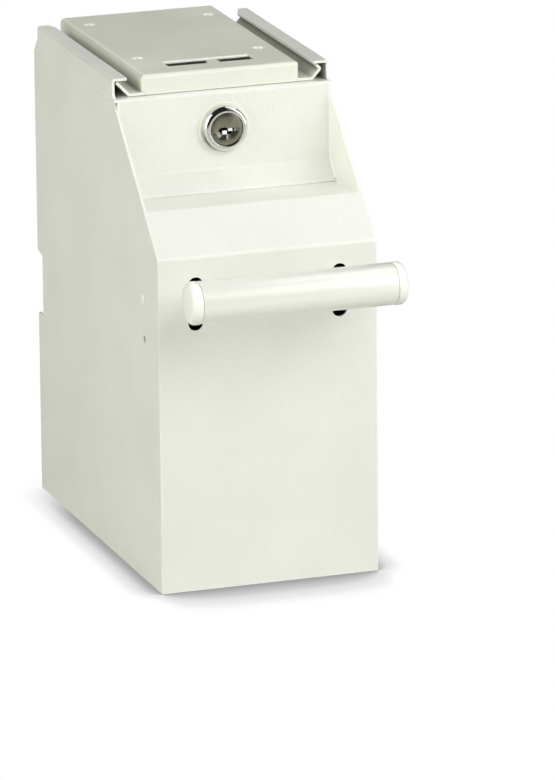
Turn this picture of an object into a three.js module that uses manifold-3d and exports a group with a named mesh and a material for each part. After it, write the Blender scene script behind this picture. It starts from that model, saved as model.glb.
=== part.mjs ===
// Under-counter drop safe: a slim sheet steel box that slides forward off a mounting bracket.
// Millimetres, +Z up. Origin at the centre of the bottom panel's underside; the front faces -Y.
// All builders below measure y from the front face and z from the underside.
import * as THREE from 'three';
import { mergeVertices } from 'three/addons/utils/BufferGeometryUtils.js';
import Module from 'manifold-3d';

const wasm = await Module();
wasm.setup();

// Clearances
const SEAM = 0.15; // along a welded joint between two sheets
const RUN = 0.3; // between pieces that slide or turn past each other
const PIN_PLAY = 0.15; // round a pin or shaft in its hole

// Housing sheets
const WIDTH = 102; // across the outside of the side panels
const HEIGHT = 212.4; // underside to the top of the deck
const DEPTH = 178.4; // front face to the rear edges of the side panels
const SHEET = 1.2; // sheet thickness
const RECESS_HEIGHT = 59.2; // from the deck down to the fold of the slope
const SLOPE_ANGLE = THREE.MathUtils.degToRad(43.6); // slope above the front face
const SLOPE_RUN = 18.6; // how far back the slope reaches
const SLOPE_FOLD_RADIUS = 3; // outside of the fold between front face and slope
const LEDGE_FOLD_RADIUS = 1.8; // outside of the fold between slope and ledge
const LEDGE_FALL = THREE.MathUtils.degToRad(5); // the ledge falls towards the rear
const LEDGE_LAP = 3; // the ledge reaches this far behind the lock panel's face
const LEDGE_LIP = 14; // length of the turned down lip
const BEND_RADIUS = 1.9; // outside of the other folds
const RAIL_RADIUS = 1.4; // outside of the rails' folds

// Top deck, lock panel and rails
const DECK_REAR_INSET = 2.6; // deck ends this far inside the rear edges
const PANEL_SETBACK = 58; // lock panel, behind the front face
const PANEL_DROP = 35.4; // from the deck down to the lock panel's lower fold
const FACET_REACH = 8; // lower facet comes forward by about this much
const FACET_ANGLE = THREE.MathUtils.degToRad(45);
const NOTE_GAP = 0.4; // note slot, between the facet's edge and the ledge
const RAIL_SETBACK = 4; // front ends of the rails, behind the lock panel
const RAIL_REAR_INSET = 5.8; // rails end this far inside the rear edges
const RAIL_RISE = 8.9; // rail lips stand this far above the deck
const LIP_WIDTH = 7; // width of each rail's inward lip
const LIP_LEAD = 2.4; // lead-in chamfer at the lips' rear ends
const RAIL_TOE = 3; // radius at the foot of each rail's front end
const RAIL_HEEL = 2.4; // step at the foot of each rail's rear end

// Side panels
const CORNER_CUT = 2.4; // cut at the top rear corners
const PINCH_DROP = 113.6; // finger notch at the door's free edge, centre below the deck
const PINCH_HEIGHT = 28.4;
const PINCH_DEPTH = 7.1;
const PINCH_RAMP = 1.4; // the notch's upper end slopes by this much
const SIGHT_HOLE_RADIUS = 1.7; // hole below the handle pivot
const SIGHT_HOLE_DROP = 18.2;
const SIGHT_HOLE_FORWARD = 2.8;

// Bottom panel and slot shield
const BOTTOM_FLANGE = 12; // height of its upturned edges
const BOTTOM_REAR_INSET = 8; // it ends this far inside the rear edges
const SHIELD_DEPTH = 34; // shield's back wall, behind the front face
const SHIELD_DROP = 32.6; // its floor, below the handle's pivot
const SHIELD_HEIGHT = 62;
const SHIELD_TOP_REACH = 9.6; // front edge of the shield's upper leg

// Handle
const PIVOT_DEPTH = 23.3; // pivot shaft behind the front face
const PIVOT_DROP = 22.6; // shaft below the fold of the slope
const ARM_LENGTH = 61.6; // pivot axis to grip axis
const ARM_INSET = 17.4; // arm axis from the side panel's outer face
const ARM_RADIUS = 3;
const HANDLE_TILT = THREE.MathUtils.degToRad(11.7); // arms point up by this at rest
const GRIP_RADIUS = 9.4;
const GRIP_WALL = 1.2;
const GRIP_INSET = 6.05; // each end of the steel tube, from the side panel's outer face
const CAP_LENGTH = 5.2; // visible part of an end cap
const CAP_LIP = 0.2; // a cap's radius beyond the tube's
const CAP_ROUND = 2.6; // rounding of a cap's outer edge
const SPIGOT_LENGTH = 7; // part of a cap inside the tube
const ARM_SLOT_WIDTH = 7;
const ARM_SLOT_HEIGHT = 24.4;
const ARM_SLOT_LIFT = 1.3; // the slots' centres above the pivot
const SHAFT_RADIUS = 2.5;
const SHAFT_HEAD_RADIUS = 3.6;
const SHAFT_HEAD = 0.6; // thickness of the riveted heads
const EYE_RADIUS = 5.5;
const EYE_WIDTH = 7;
const WASHER_RADIUS = 6.4;
const WASHER_THICKNESS = 1;
const SPACER_RADIUS = 4;

// Mounting bracket
const PLATE_PROUD = 0.5; // plate stands above the rail lips
const HAT_INSET = 13.9; // side of the hat from the side panel's outer face
const HAT_RADIUS = 2.2; // outside of the plate's rounded edges
const BRACKET_OVERHANG = 3.1; // it reaches this far behind the side panels' rear edges
const FLANGE_REACH = 6.2; // flat foot beside the hat, before the wing
const LEFT_WING_INSET = 8.6; // rear end of the left wing, before the bracket's rear
const RIGHT_WING_INSET = 4.5; // rear end of the right wing
const CURL_SETBACK = 1.2; // the right wing turns back this far short of the left one's reach
const CURL_LENGTH = 2.4; // its turned back tip
const SCREW_INSET = 8.5; // screw holes from the sides of the hat
const SCREW_FRONT = 31.4; // front pair behind the bracket's front
const SCREW_REAR = 17.1; // rear pair before the bracket's rear
const SCREW_HOLE_RADIUS = 2.3;
const SINK_RADIUS = 2.6; // broken edge of the holes at the plate's surface
const STRIKE_WIDTH = 40.8; // slot that takes the lock's cam
const STRIKE_SETBACK = 11.9; // behind the bracket's front
const STRIKE_DEPTH = 9.9;
const NIB_LENGTH = 5.9; // round tab at the slot's front edge
const NIB_WIDTH = 5.4;
const NIB_OFFSET = 1.2; // the tab's axis, right of the slot's middle

// Cam locks
const BEZEL_RADIUS = 10.6;
const BEZEL_PROUD = 3.6;
const BEZEL_TAPER = 2.2; // the dome's front ring is this much smaller in radius
const BEZEL_DOME = 2.6; // height of the domed part
const COLLAR_RADIUS = 11.8; // thin collar under the front lock's bezel
const COLLAR_THICKNESS = 0.6;
const LOCK_BODY_RADIUS = 8;
const LOCK_FLAT = 6.8; // axis to the flats milled on the body
const PLUG_FACE_RADIUS = 7.5;
const PLUG_FACE_THICKNESS = 1.4;
const PLUG_RECESS = 0.5; // plug face below the bezel's rim
const PLUG_RADIUS = 5.4;
const KEYWAY_WIDTH = 8.6;
const KEYWAY_HEIGHT = 1.5;
const KEYWAY_DEPTH = 8;
const TAIL_HALF = 3.3; // half the square tail that carries the cam
const NUT_FLATS = 11; // axis to the nut's flats
const NUT_THICKNESS = 4;
const CAM_THICKNESS = 2;
const CAM_WIDTH = 12;
const CAM_HUB_RADIUS = 7.2;
const SCREW_RADIUS = 2;
const SCREW_LENGTH = 7;
const SCREW_HEAD_RADIUS = 3.8;
const SCREW_HEAD = 2.2;
const LOCK_DROP = 16.8; // front lock's axis below the deck
const NIB_CLEARANCE = 0.7; // between the nib and the front lock's cam
const CAM_SLOT_PLAY = 1.5; // round that cam in the deck's slot

// Rear door and its lock
const DOOR_INSET = 4; // door face inside the rear edges
const DOOR_FLANGE = 14;
const DOOR_GAP = 1.2; // at its free edge, foot and head
const DOOR_HEAD_GAP = 1;
const HINGE_INSET = 5; // hinge axis from the side panel's outer face
const KNUCKLE_RADIUS = 2.9;
const HINGE_PIN_RADIUS = 1.5;
const HINGE_BOTTOM = 20;
const HINGE_TOP_MARGIN = 22.4; // below the deck
const KNUCKLE_COUNT = 5;
const LEAF_DEPTH = 21;
const JAMB_REACH = 8.4; // jamb's leg from the side panel
const JAMB_DEPTH = 15;
const JAMB_MARGIN = 8.8; // jamb ends this far from deck and floor
const DOOR_LOCK_EDGE = 19; // door lock's axis from the side panel's outer face
const DOOR_LOCK_DROP = 62.4; // below the deck
const DOOR_CAM_LENGTH = 14;

// Note flap
const FLAP_PIN_RADIUS = 1.2;
const FLAP_PIN_RISE = 4; // pin above the lock panel's lower fold
const FLAP_SHEET = 1;
const FLAP_INSET = 7; // its ends from the side panels' outer faces
const FLAP_EYE_RADIUS = 2.3;
const FLAP_EYE_WIDTH = 12;
const FLAP_LAP = 7.2; // it hangs this far below the ledge's rear edge
const FLAP_HEM = 5; // its lower edge is turned to the rear by this much

// Derived places
const SIDE_IN = WIDTH / 2 - SHEET; // inner faces of the side panels
const BETWEEN = SIDE_IN - SEAM; // half width of a sheet welded between them
const DECK_TOP = HEIGHT;
const FRONT_HEIGHT = DECK_TOP - RECESS_HEIGHT;
const SLOPE_TOP = FRONT_HEIGHT + SLOPE_RUN * Math.tan(SLOPE_ANGLE);
const DECK_UNDER = DECK_TOP - SHEET;
const PANEL_FOOT = DECK_TOP - PANEL_DROP;
const LEDGE_REACH = PANEL_SETBACK + LEDGE_LAP; // where the ledge turns down into the box
const RAIL_FRONT = PANEL_SETBACK + RAIL_SETBACK;
const PINCH_BOTTOM = DECK_TOP - PINCH_DROP - PINCH_HEIGHT / 2;
const PIVOT_HEIGHT = FRONT_HEIGHT - PIVOT_DROP;
const ARM_SLOT_CENTRE = PIVOT_HEIGHT + ARM_SLOT_LIFT;
const ARM_X = WIDTH / 2 - ARM_INSET;
const GRIP_LENGTH = WIDTH - 2 * GRIP_INSET;
const SHIELD_BOTTOM = PIVOT_HEIGHT - SHIELD_DROP;
const HAT_WIDTH = WIDTH - 2 * HAT_INSET;
const BRACKET_LENGTH = DEPTH + BRACKET_OVERHANG - RAIL_FRONT;
const STRIKE_FRONT = RAIL_FRONT + STRIKE_SETBACK;
const LOCK_HEIGHT = DECK_TOP - LOCK_DROP;
const DOOR_LOCK_HEIGHT = DECK_TOP - DOOR_LOCK_DROP;
const HINGE_HEIGHT = DECK_TOP - HINGE_TOP_MARGIN - HINGE_BOTTOM;
const FLAP_PIN_HEIGHT = PANEL_FOOT + FLAP_PIN_RISE;
const FLAP_WIDTH = WIDTH - 2 * FLAP_INSET;
const RAIL_TOP = DECK_TOP + RAIL_RISE;
const PLATE_TOP = RAIL_TOP + PLATE_PROUD;
const DOOR_FACE = DEPTH - DOOR_INSET; // outer face of the door
const DOOR_BACK = DOOR_FACE - DOOR_FLANGE; // inner edge of its flanges
const DOOR_LEFT = -SIDE_IN + DOOR_GAP;
const HINGE_X = WIDTH / 2 - HINGE_INSET;
const HINGE_Y = DOOR_FACE - KNUCKLE_RADIUS;
const JAMB_FACE = DOOR_BACK - RUN;
const DOOR_CAM_FRONT = JAMB_FACE - SHEET - RUN; // cam's face towards the jamb
const DOOR_LOCK_X = -WIDTH / 2 + DOOR_LOCK_EDGE;
const FRONT_CAM = STRIKE_FRONT + NIB_LENGTH + NIB_CLEARANCE; // front face of the front lock's cam
const CAM_REACH = PLATE_TOP - RUN - LOCK_HEIGHT; // its length, to just under the plate's surface
const FLAP_PIN_DEPTH = PANEL_SETBACK + SHEET + FLAP_EYE_RADIUS + SEAM; // pin behind the front face

// Paint and metal
const paint = new THREE.MeshStandardMaterial({ color: 0xecede1, roughness: 0.5, metalness: 0 });
const bracketPaint = new THREE.MeshStandardMaterial({ color: 0xe4e4d8, roughness: 0.5, metalness: 0 });
const capPlastic = new THREE.MeshStandardMaterial({ color: 0xf7f7f3, roughness: 0.3, metalness: 0 });
const chrome = new THREE.MeshStandardMaterial({ color: 0xd8dadb, roughness: 0.12, metalness: 1 });
const satin = new THREE.MeshStandardMaterial({ color: 0xb4b4b0, roughness: 0.35, metalness: 1 });
const zinc = new THREE.MeshStandardMaterial({ color: 0xa9acad, roughness: 0.4, metalness: 1 });
const nylon = new THREE.MeshStandardMaterial({ color: 0xe9e9e2, roughness: 0.55, metalness: 0 });

// Closed solids from meshes, and meshes from solids
function toSolid(geometry) {
  const bare = geometry.clone();
  for (const name of Object.keys(bare.attributes)) {
    if (name !== 'position') bare.deleteAttribute(name);
  }
  const merged = mergeVertices(bare, 1e-4);
  const corners = merged.index.array;
  const triangles = [];
  for (let i = 0; i < corners.length; i += 3) {
    const [a, b, c] = corners.slice(i, i + 3);
    if (a !== b && b !== c && c !== a) triangles.push(a, b, c);
  }
  return new wasm.Manifold(new wasm.Mesh({
    numProp: 3,
    vertProperties: new Float32Array(merged.attributes.position.array),
    triVerts: new Uint32Array(triangles),
  }));
}

function toGeometry(solid) {
  const mesh = solid.getMesh();
  const geometry = new THREE.BufferGeometry();
  geometry.setAttribute('position', new THREE.BufferAttribute(new Float32Array(mesh.vertProperties), 3));
  geometry.setIndex(new THREE.BufferAttribute(new Uint32Array(mesh.triVerts), 1));
  geometry.computeVertexNormals();
  return geometry;
}

function union(...solids) {
  return solids.reduce((sum, solid) => sum.add(solid));
}

// Outline points, in the plane that an extrusion is drawn in
const ROUND_STEPS = 4; // straight pieces in a quarter of a small round

function circle(u, v, radius, count = 24) {
  const points = [];
  for (let i = 0; i < count; i++) {
    const angle = (i + 0.5) * 2 * Math.PI / count;
    points.push([u + radius * Math.cos(angle), v + radius * Math.sin(angle)]);
  }
  return points;
}

// An upright slot with round ends
function obround(u, v, width, height, count = 16) {
  const radius = width / 2;
  const points = [];
  for (let i = 0; i <= count; i++) {
    const angle = Math.PI * i / count;
    points.push([u + radius * Math.cos(angle), v + height / 2 - radius + radius * Math.sin(angle)]);
  }
  for (let i = 0; i <= count; i++) {
    const angle = Math.PI + Math.PI * i / count;
    points.push([u + radius * Math.cos(angle), v - height / 2 + radius + radius * Math.sin(angle)]);
  }
  return points;
}

// Corner of a path replaced by an arc; a radius of 0 keeps the corner
function roundedCorner(before, corner, after, radius) {
  if (radius <= 0) return [corner];
  const p = new THREE.Vector2(...corner);
  const a = new THREE.Vector2(...before).sub(p).normalize();
  const b = new THREE.Vector2(...after).sub(p).normalize();
  const half = Math.acos(THREE.MathUtils.clamp(a.dot(b), -1, 1)) / 2;
  const centre = p.clone().add(a.clone().add(b).normalize().multiplyScalar(radius / Math.sin(half)));
  const start = p.clone().add(a.clone().multiplyScalar(radius / Math.tan(half))).sub(centre);
  const sweep = (Math.PI - 2 * half) * Math.sign(a.x * b.y - a.y * b.x) * -1;
  const steps = Math.max(2, Math.ceil(ROUND_STEPS * Math.abs(sweep) / (Math.PI / 2)));
  const points = [];
  for (let i = 0; i <= steps; i++) {
    const v = start.clone().rotateAround(new THREE.Vector2(), sweep * i / steps).add(centre);
    points.push([v.x, v.y]);
  }
  return points;
}

function roundedPath(points, radii) {
  const path = [];
  points.forEach((point, i) => {
    const inner = i > 0 && i < points.length - 1;
    path.push(...(inner ? roundedCorner(points[i - 1], point, points[i + 1], radii[i]) : [point]));
  });
  return path;
}

// Path moved sideways by a distance to its left, with its corners kept sharp
function offsetPath(points, distance) {
  const unit = (a, b) => new THREE.Vector2(b[0] - a[0], b[1] - a[1]).normalize();
  return points.map((point, i) => {
    const into = unit(points[Math.max(i - 1, 0)], points[Math.max(i, 1)]);
    const out = unit(points[Math.min(i, points.length - 2)], points[Math.min(i + 1, points.length - 1)]);
    const normal = new THREE.Vector2(-into.y - out.y, into.x + out.x).normalize();
    const stretch = distance / (normal.x * -into.y + normal.y * into.x);
    return [point[0] + normal.x * stretch, point[1] + normal.y * stretch];
  });
}

// Cross-section of a folded sheet: its visible side as a path, the thickness to the path's left.
// Radii are those of the visible side; a fold towards the thickness has the smaller radius behind.
function foldedSheet(points, radii, thickness = SHEET) {
  const behind = radii.map((radius, i) => {
    if (i === 0 || i === points.length - 1 || radius <= 0) return 0;
    const [a, b, c] = [points[i - 1], points[i], points[i + 1]];
    const turn = (b[0] - a[0]) * (c[1] - b[1]) - (b[1] - a[1]) * (c[0] - b[0]);
    return Math.max(turn > 0 ? radius - thickness : radius + thickness, 0.3);
  });
  return [...roundedPath(points, radii), ...roundedPath(offsetPath(points, thickness), behind).reverse()];
}

// Extrusions along one axis. Outlines are [y, z] along x, [x, z] along y and [x, y] along z.
function extrude(axis, outline, from, to, holes = []) {
  const turn = (points) => {
    const swapped = axis === 'y';
    const flat = points.map(([u, v]) => (swapped ? new THREE.Vector2(v, u) : new THREE.Vector2(u, v)));
    return THREE.ShapeUtils.isClockWise(flat) ? flat.reverse() : flat;
  };
  const shape = new THREE.Shape(turn(outline));
  for (const hole of holes) shape.holes.push(new THREE.Path(turn(hole)));
  const geometry = new THREE.ExtrudeGeometry(shape, { depth: to - from, bevelEnabled: false });
  geometry.translate(0, 0, from);
  const order = {
    x: new THREE.Matrix4().set(0, 0, 1, 0, 1, 0, 0, 0, 0, 1, 0, 0, 0, 0, 0, 1),
    y: new THREE.Matrix4().set(0, 1, 0, 0, 0, 0, 1, 0, 1, 0, 0, 0, 0, 0, 0, 1),
    z: new THREE.Matrix4(),
  };
  geometry.applyMatrix4(order[axis]);
  return toSolid(geometry);
}

function block(x0, x1, y0, y1, z0, z1) {
  const geometry = new THREE.BoxGeometry(x1 - x0, y1 - y0, z1 - z0);
  geometry.translate((x0 + x1) / 2, (y0 + y1) / 2, (z0 + z1) / 2);
  return toSolid(geometry);
}

// Solid of revolution; the profile is [radius, place along the axis] and runs either way round.
// It starts and ends on the axis, or closes on itself.
function turned(axis, profile, count = 36, place = [0, 0, 0]) {
  const area = profile.reduce((sum, [r, a], i) => {
    const [nextR, nextA] = profile[(i + 1) % profile.length];
    return sum + r * nextA - nextR * a;
  }, 0);
  const way = area > 0 ? profile : [...profile].reverse();
  const points = way.map(([radius, along]) => new THREE.Vector2(radius, along));
  const onAxis = points[0].x === 0 && points[points.length - 1].x === 0;
  if (!onAxis) points.push(points[0].clone());
  const geometry = new THREE.LatheGeometry(points, count);
  if (axis === 'x') geometry.rotateZ(-Math.PI / 2);
  if (axis === 'z') geometry.rotateX(Math.PI / 2);
  geometry.translate(...place);
  return toSolid(geometry);
}

// Scene graph
const housing = new THREE.Group();
housing.position.set(0, -DEPTH / 2, 0);

function add(parent, name, solid, material) {
  const mesh = new THREE.Mesh(toGeometry(solid), material);
  mesh.name = name;
  parent.add(mesh);
  return mesh;
}

// Height of the slanted line that the slope and the side panels' edges share
function slopeZ(y) {
  return FRONT_HEIGHT + y * Math.tan(SLOPE_ANGLE);
}

// Outline of a side panel, seen from the side. Below the ledge its front edge lies behind the
// front sheet; above it the edge is flush with the slope and runs up to the deck.
function sideOutline() {
  const back = SHEET + SEAM;
  const setBack = back / Math.cos(SLOPE_ANGLE);
  const stepY = SLOPE_RUN + RUN;
  const top = DECK_UNDER - SEAM;
  return [
    [back, 0],
    [back, slopeZ(back) - setBack],
    [stepY, slopeZ(stepY) - setBack],
    [stepY, slopeZ(stepY)],
    [(top - FRONT_HEIGHT) / Math.tan(SLOPE_ANGLE), top],
    [DEPTH - CORNER_CUT, top],
    [DEPTH, top - CORNER_CUT],
    [DEPTH, 0],
  ];
}

function sidePanel(side) {
  const [from, to] = side < 0 ? [-WIDTH / 2, -SIDE_IN] : [SIDE_IN, WIDTH / 2];
  const outline = sideOutline();
  if (side < 0) {
    const top = PINCH_BOTTOM + PINCH_HEIGHT;
    outline.splice(-1, 0,
      [DEPTH, top + PINCH_RAMP],
      [DEPTH - PINCH_DEPTH, top],
      [DEPTH - PINCH_DEPTH, PINCH_BOTTOM],
      [DEPTH, PINCH_BOTTOM]);
  }
  return extrude('x', outline, from, to, [
    circle(PIVOT_DEPTH, PIVOT_HEIGHT, SHAFT_RADIUS + PIN_PLAY),
    circle(PIVOT_DEPTH - SIGHT_HOLE_FORWARD, PIVOT_HEIGHT - SIGHT_HOLE_DROP, SIGHT_HOLE_RADIUS, 16),
  ]);
}

// Height of the ledge's upper face
function ledgeZ(y) {
  return SLOPE_TOP - (y - SLOPE_RUN) * Math.tan(LEDGE_FALL);
}

// One sheet: front face with the arm slots, slope, ledge and the lip that turns down inside
function frontPanel() {
  const full = foldedSheet(
    [[SLOPE_RUN, SLOPE_TOP], [0, FRONT_HEIGHT], [0, 0]],
    [0, SLOPE_FOLD_RADIUS, 0]);
  const face = extrude('x', full, -WIDTH / 2, WIDTH / 2);
  const ledge = foldedSheet(
    [[LEDGE_REACH, ledgeZ(LEDGE_REACH) - LEDGE_LIP], [LEDGE_REACH, ledgeZ(LEDGE_REACH)],
      [SLOPE_RUN, SLOPE_TOP], [0, FRONT_HEIGHT], [0, FRONT_HEIGHT - SLOPE_RUN]],
    [0, BEND_RADIUS, LEDGE_FOLD_RADIUS, SLOPE_FOLD_RADIUS, 0]);
  const rim = block(-WIDTH / 2, WIDTH / 2, -1, SLOPE_RUN, 0, SLOPE_TOP + 1);
  const inner = extrude('x', ledge, -BETWEEN, BETWEEN);
  const shoulders = extrude('x', ledge, -WIDTH / 2, WIDTH / 2).intersect(rim);
  const cutters = [-1, 1].map((side) => {
    const slot = obround(side * ARM_X, ARM_SLOT_CENTRE, ARM_SLOT_WIDTH, ARM_SLOT_HEIGHT);
    return extrude('y', slot, -1, SHEET + 1);
  });
  const roundTop = face.intersect(block(-WIDTH / 2, WIDTH / 2, -1, SLOPE_RUN, -1, FRONT_HEIGHT));
  return union(roundTop, inner, shoulders).subtract(union(...cutters));
}

// One sheet: facet, lock panel and deck, with the rails folded up at the deck's sides
function topDeck() {
  const foot = [PANEL_SETBACK - 2 * FACET_REACH, PANEL_FOOT - 2 * FACET_REACH * Math.tan(FACET_ANGLE)];
  const rear = DEPTH - DECK_REAR_INSET;
  const profile = foldedSheet(
    [[rear, DECK_TOP], [PANEL_SETBACK, DECK_TOP], [PANEL_SETBACK, PANEL_FOOT], foot],
    [0, BEND_RADIUS, BEND_RADIUS, 0]);
  const gap = (y) => [y, ledgeZ(y) + NOTE_GAP];
  const below = [gap(PANEL_SETBACK - 3 * FACET_REACH), gap(PANEL_SETBACK), [PANEL_SETBACK, SHIELD_BOTTOM],
    [PANEL_SETBACK - 3 * FACET_REACH, SHIELD_BOTTOM]];
  const middle = extrude('x', profile, -BETWEEN, BETWEEN).subtract(extrude('x', below, -WIDTH, WIDTH));
  const wings = extrude('x', profile, -WIDTH / 2, WIDTH / 2)
    .intersect(block(-WIDTH / 2, WIDTH / 2, PANEL_SETBACK - 1, rear + 1, DECK_UNDER, DECK_TOP));
  const sheet = union(middle, wings, rail(-1), rail(1));
  const rise = DECK_UNDER - LOCK_HEIGHT;
  const sweep = Math.sqrt(Math.max(CAM_REACH * CAM_REACH - rise * rise, 1)) + CAM_SLOT_PLAY;
  const camSlot = block(-sweep, CAM_WIDTH / 2 + CAM_SLOT_PLAY, FRONT_CAM - CAM_SLOT_PLAY,
    FRONT_CAM + CAM_THICKNESS + CAM_SLOT_PLAY, DECK_UNDER - 1, DECK_TOP + 1);
  const hole = lockHole(0, LOCK_HEIGHT, PANEL_SETBACK - 1, PANEL_SETBACK + SHEET + 1);
  return sheet.subtract(union(camSlot, hole, underRail(-1), underRail(1)));
}

// Rail on one side: a wall that rises from the deck's edge and a lip that turns inward
function rail(side) {
  const outer = side * WIDTH / 2;
  const tip = side * (WIDTH / 2 - LIP_WIDTH);
  const foot = side * (WIDTH / 2 - LIP_WIDTH);
  const points = [[foot, DECK_UNDER], [outer, DECK_UNDER], [outer, RAIL_TOP], [tip, RAIL_TOP]];
  const path = side < 0 ? [...points].reverse() : points;
  const section = foldedSheet(path, [0, RAIL_RADIUS, RAIL_RADIUS, 0]);
  const end = DEPTH - RAIL_REAR_INSET;
  const bar = extrude('y', section, RAIL_FRONT - RAIL_TOE, end + RAIL_HEEL);
  // Side view of the wall, with a round toe in front and a step behind
  const toe = [];
  for (let i = 0; i <= ROUND_STEPS; i++) {
    const angle = Math.PI / 2 * i / ROUND_STEPS;
    const rise = RAIL_TOE * (1 - Math.cos(angle));
    toe.push([RAIL_FRONT - RAIL_TOE * (1 - Math.sin(angle)), DECK_TOP + rise]);
  }
  const step = end + RAIL_HEEL;
  const view = [
    [RAIL_FRONT - RAIL_TOE, DECK_UNDER - 1], ...toe, [RAIL_FRONT, RAIL_TOP + 1], [end, RAIL_TOP + 1],
    [end, DECK_TOP + RAIL_HEEL], [step, DECK_TOP + RAIL_HEEL / 2], [step, DECK_UNDER - 1],
  ];
  const keep = extrude('x', view, Math.min(outer, foot) - 1, Math.max(outer, foot) + 1);
  const lead = extrude('z', [[tip + side * LIP_LEAD, end + 1], [tip - side, end + 1],
    [tip - side, end - 2 * LIP_LEAD], [tip, end - 2 * LIP_LEAD]], RAIL_TOP - SHEET - 1, RAIL_TOP + 1);
  return bar.intersect(keep).subtract(lead);
}

// The sliver outside the rail's lower fold, so that the deck's edge is round there too
function underRail(side) {
  const outer = side * WIDTH / 2;
  const inner = outer - side * RAIL_RADIUS;
  const arc = roundedCorner([inner, DECK_UNDER], [outer, DECK_UNDER], [outer, RAIL_TOP], RAIL_RADIUS);
  const end = DEPTH - RAIL_REAR_INSET + RAIL_HEEL;
  return extrude('y', [...arc, [outer + side, DECK_UNDER + RAIL_RADIUS], [outer + side, DECK_UNDER - 1],
    [inner, DECK_UNDER - 1]], RAIL_FRONT, end);
}

// Double-D hole for a lock body, along y
function lockHole(x, z, from, to) {
  const radius = LOCK_BODY_RADIUS + PIN_PLAY;
  const flat = LOCK_FLAT + PIN_PLAY;
  const round = extrude('y', circle(x, z, radius, 32), from, to);
  return round.intersect(block(x - 2 * radius, x + 2 * radius, from, to, z - flat, z + flat));
}

function bottomPanel() {
  const front = SHEET + SEAM;
  const rear = DEPTH - BOTTOM_REAR_INSET;
  const floor = block(-BETWEEN, BETWEEN, front, rear, 0, SHEET);
  const rim = block(-BETWEEN, BETWEEN, front, JAMB_FACE, 0, BOTTOM_FLANGE);
  const half = BETWEEN - SHEET;
  const inside = block(-half, half, front + SHEET, rear + 1, SHEET, BOTTOM_FLANGE + 1);
  return floor.add(rim).subtract(inside);
}

// Folded shield that closes off the arm slots from the money space
function slotShield() {
  const top = SHIELD_BOTTOM + SHIELD_HEIGHT;
  const section = foldedSheet(
    [[SHEET + SEAM, SHIELD_BOTTOM], [SHIELD_DEPTH, SHIELD_BOTTOM],
      [SHIELD_DEPTH, top], [SHIELD_TOP_REACH, top]],
    [0, BEND_RADIUS, BEND_RADIUS, 0]);
  return extrude('x', section, -BETWEEN, BETWEEN);
}

// Angle on the left side panel that the door closes against and its cam locks behind
function doorJamb() {
  const outer = -BETWEEN;
  const low = BOTTOM_FLANGE + SEAM;
  const high = DECK_UNDER - JAMB_MARGIN;
  const leg = block(outer, outer + SHEET, JAMB_FACE - JAMB_DEPTH, JAMB_FACE, low, high);
  const stop = block(outer, -SIDE_IN + JAMB_REACH, JAMB_FACE - SHEET, JAMB_FACE, low, high);
  return leg.add(stop);
}

// Hinge knuckles share the hinge's height; the even ones belong to the leaf
function knuckle(index) {
  const pitch = HINGE_HEIGHT / KNUCKLE_COUNT;
  const low = HINGE_BOTTOM + index * pitch + (index > 0 ? RUN / 2 : 0);
  const high = HINGE_BOTTOM + (index + 1) * pitch - (index < KNUCKLE_COUNT - 1 ? RUN / 2 : 0);
  return [low, high];
}

function hingeBore() {
  return extrude('z', circle(HINGE_X, HINGE_Y, HINGE_PIN_RADIUS + PIN_PLAY, 20),
    HINGE_BOTTOM - 1, HINGE_BOTTOM + HINGE_HEIGHT + 1);
}

function hingeLeaf() {
  const rear = HINGE_Y - KNUCKLE_RADIUS - RUN;
  const top = HINGE_BOTTOM + HINGE_HEIGHT;
  let leaf = block(BETWEEN - SHEET, BETWEEN, HINGE_Y - LEAF_DEPTH, rear, HINGE_BOTTOM, top);
  for (let i = 0; i < KNUCKLE_COUNT; i += 2) {
    const [low, high] = knuckle(i);
    leaf = leaf.add(extrude('z', circle(HINGE_X, HINGE_Y, KNUCKLE_RADIUS), low, high));
    leaf = leaf.add(block(HINGE_X + HINGE_PIN_RADIUS + PIN_PLAY, BETWEEN, rear - 1, HINGE_Y, low, high));
  }
  return leaf.subtract(hingeBore());
}

function hingePin() {
  const outline = circle(HINGE_X, HINGE_Y, HINGE_PIN_RADIUS, 20);
  return extrude('z', outline, HINGE_BOTTOM, HINGE_BOTTOM + HINGE_HEIGHT);
}

// Rear door: a pan with flanges inside and knuckles on its right edge
function rearDoor() {
  const low = SHEET + DOOR_GAP;
  const high = DECK_UNDER - DOOR_HEAD_GAP;
  const edge = HINGE_X - KNUCKLE_RADIUS - RUN;
  const face = DOOR_FACE - SHEET;
  const corner = HINGE_X + KNUCKLE_RADIUS / 2;
  let door = union(
    block(DOOR_LEFT, edge, face, DOOR_FACE, low, high),
    block(DOOR_LEFT, DOOR_LEFT + SHEET, DOOR_BACK, DOOR_FACE, low, high),
    block(DOOR_LEFT, edge, DOOR_BACK, DOOR_FACE, low, low + SHEET),
    block(DOOR_LEFT, edge, DOOR_BACK, DOOR_FACE, high - SHEET, high),
    block(edge - 1, corner, face, DOOR_FACE, low, HINGE_BOTTOM - RUN),
    block(edge - 1, corner, face, DOOR_FACE, HINGE_BOTTOM + HINGE_HEIGHT + RUN, high));
  for (let i = 1; i < KNUCKLE_COUNT; i += 2) {
    const [bottom, top] = knuckle(i);
    door = door.add(extrude('z', circle(HINGE_X, HINGE_Y, KNUCKLE_RADIUS), bottom, top));
    door = door.add(block(edge - 1, HINGE_X, face, DOOR_FACE, bottom, top));
  }
  const hole = lockHole(DOOR_LOCK_X, DOOR_LOCK_HEIGHT, face - 1, DOOR_FACE + 1);
  return door.subtract(union(hingeBore(), hole));
}

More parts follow.
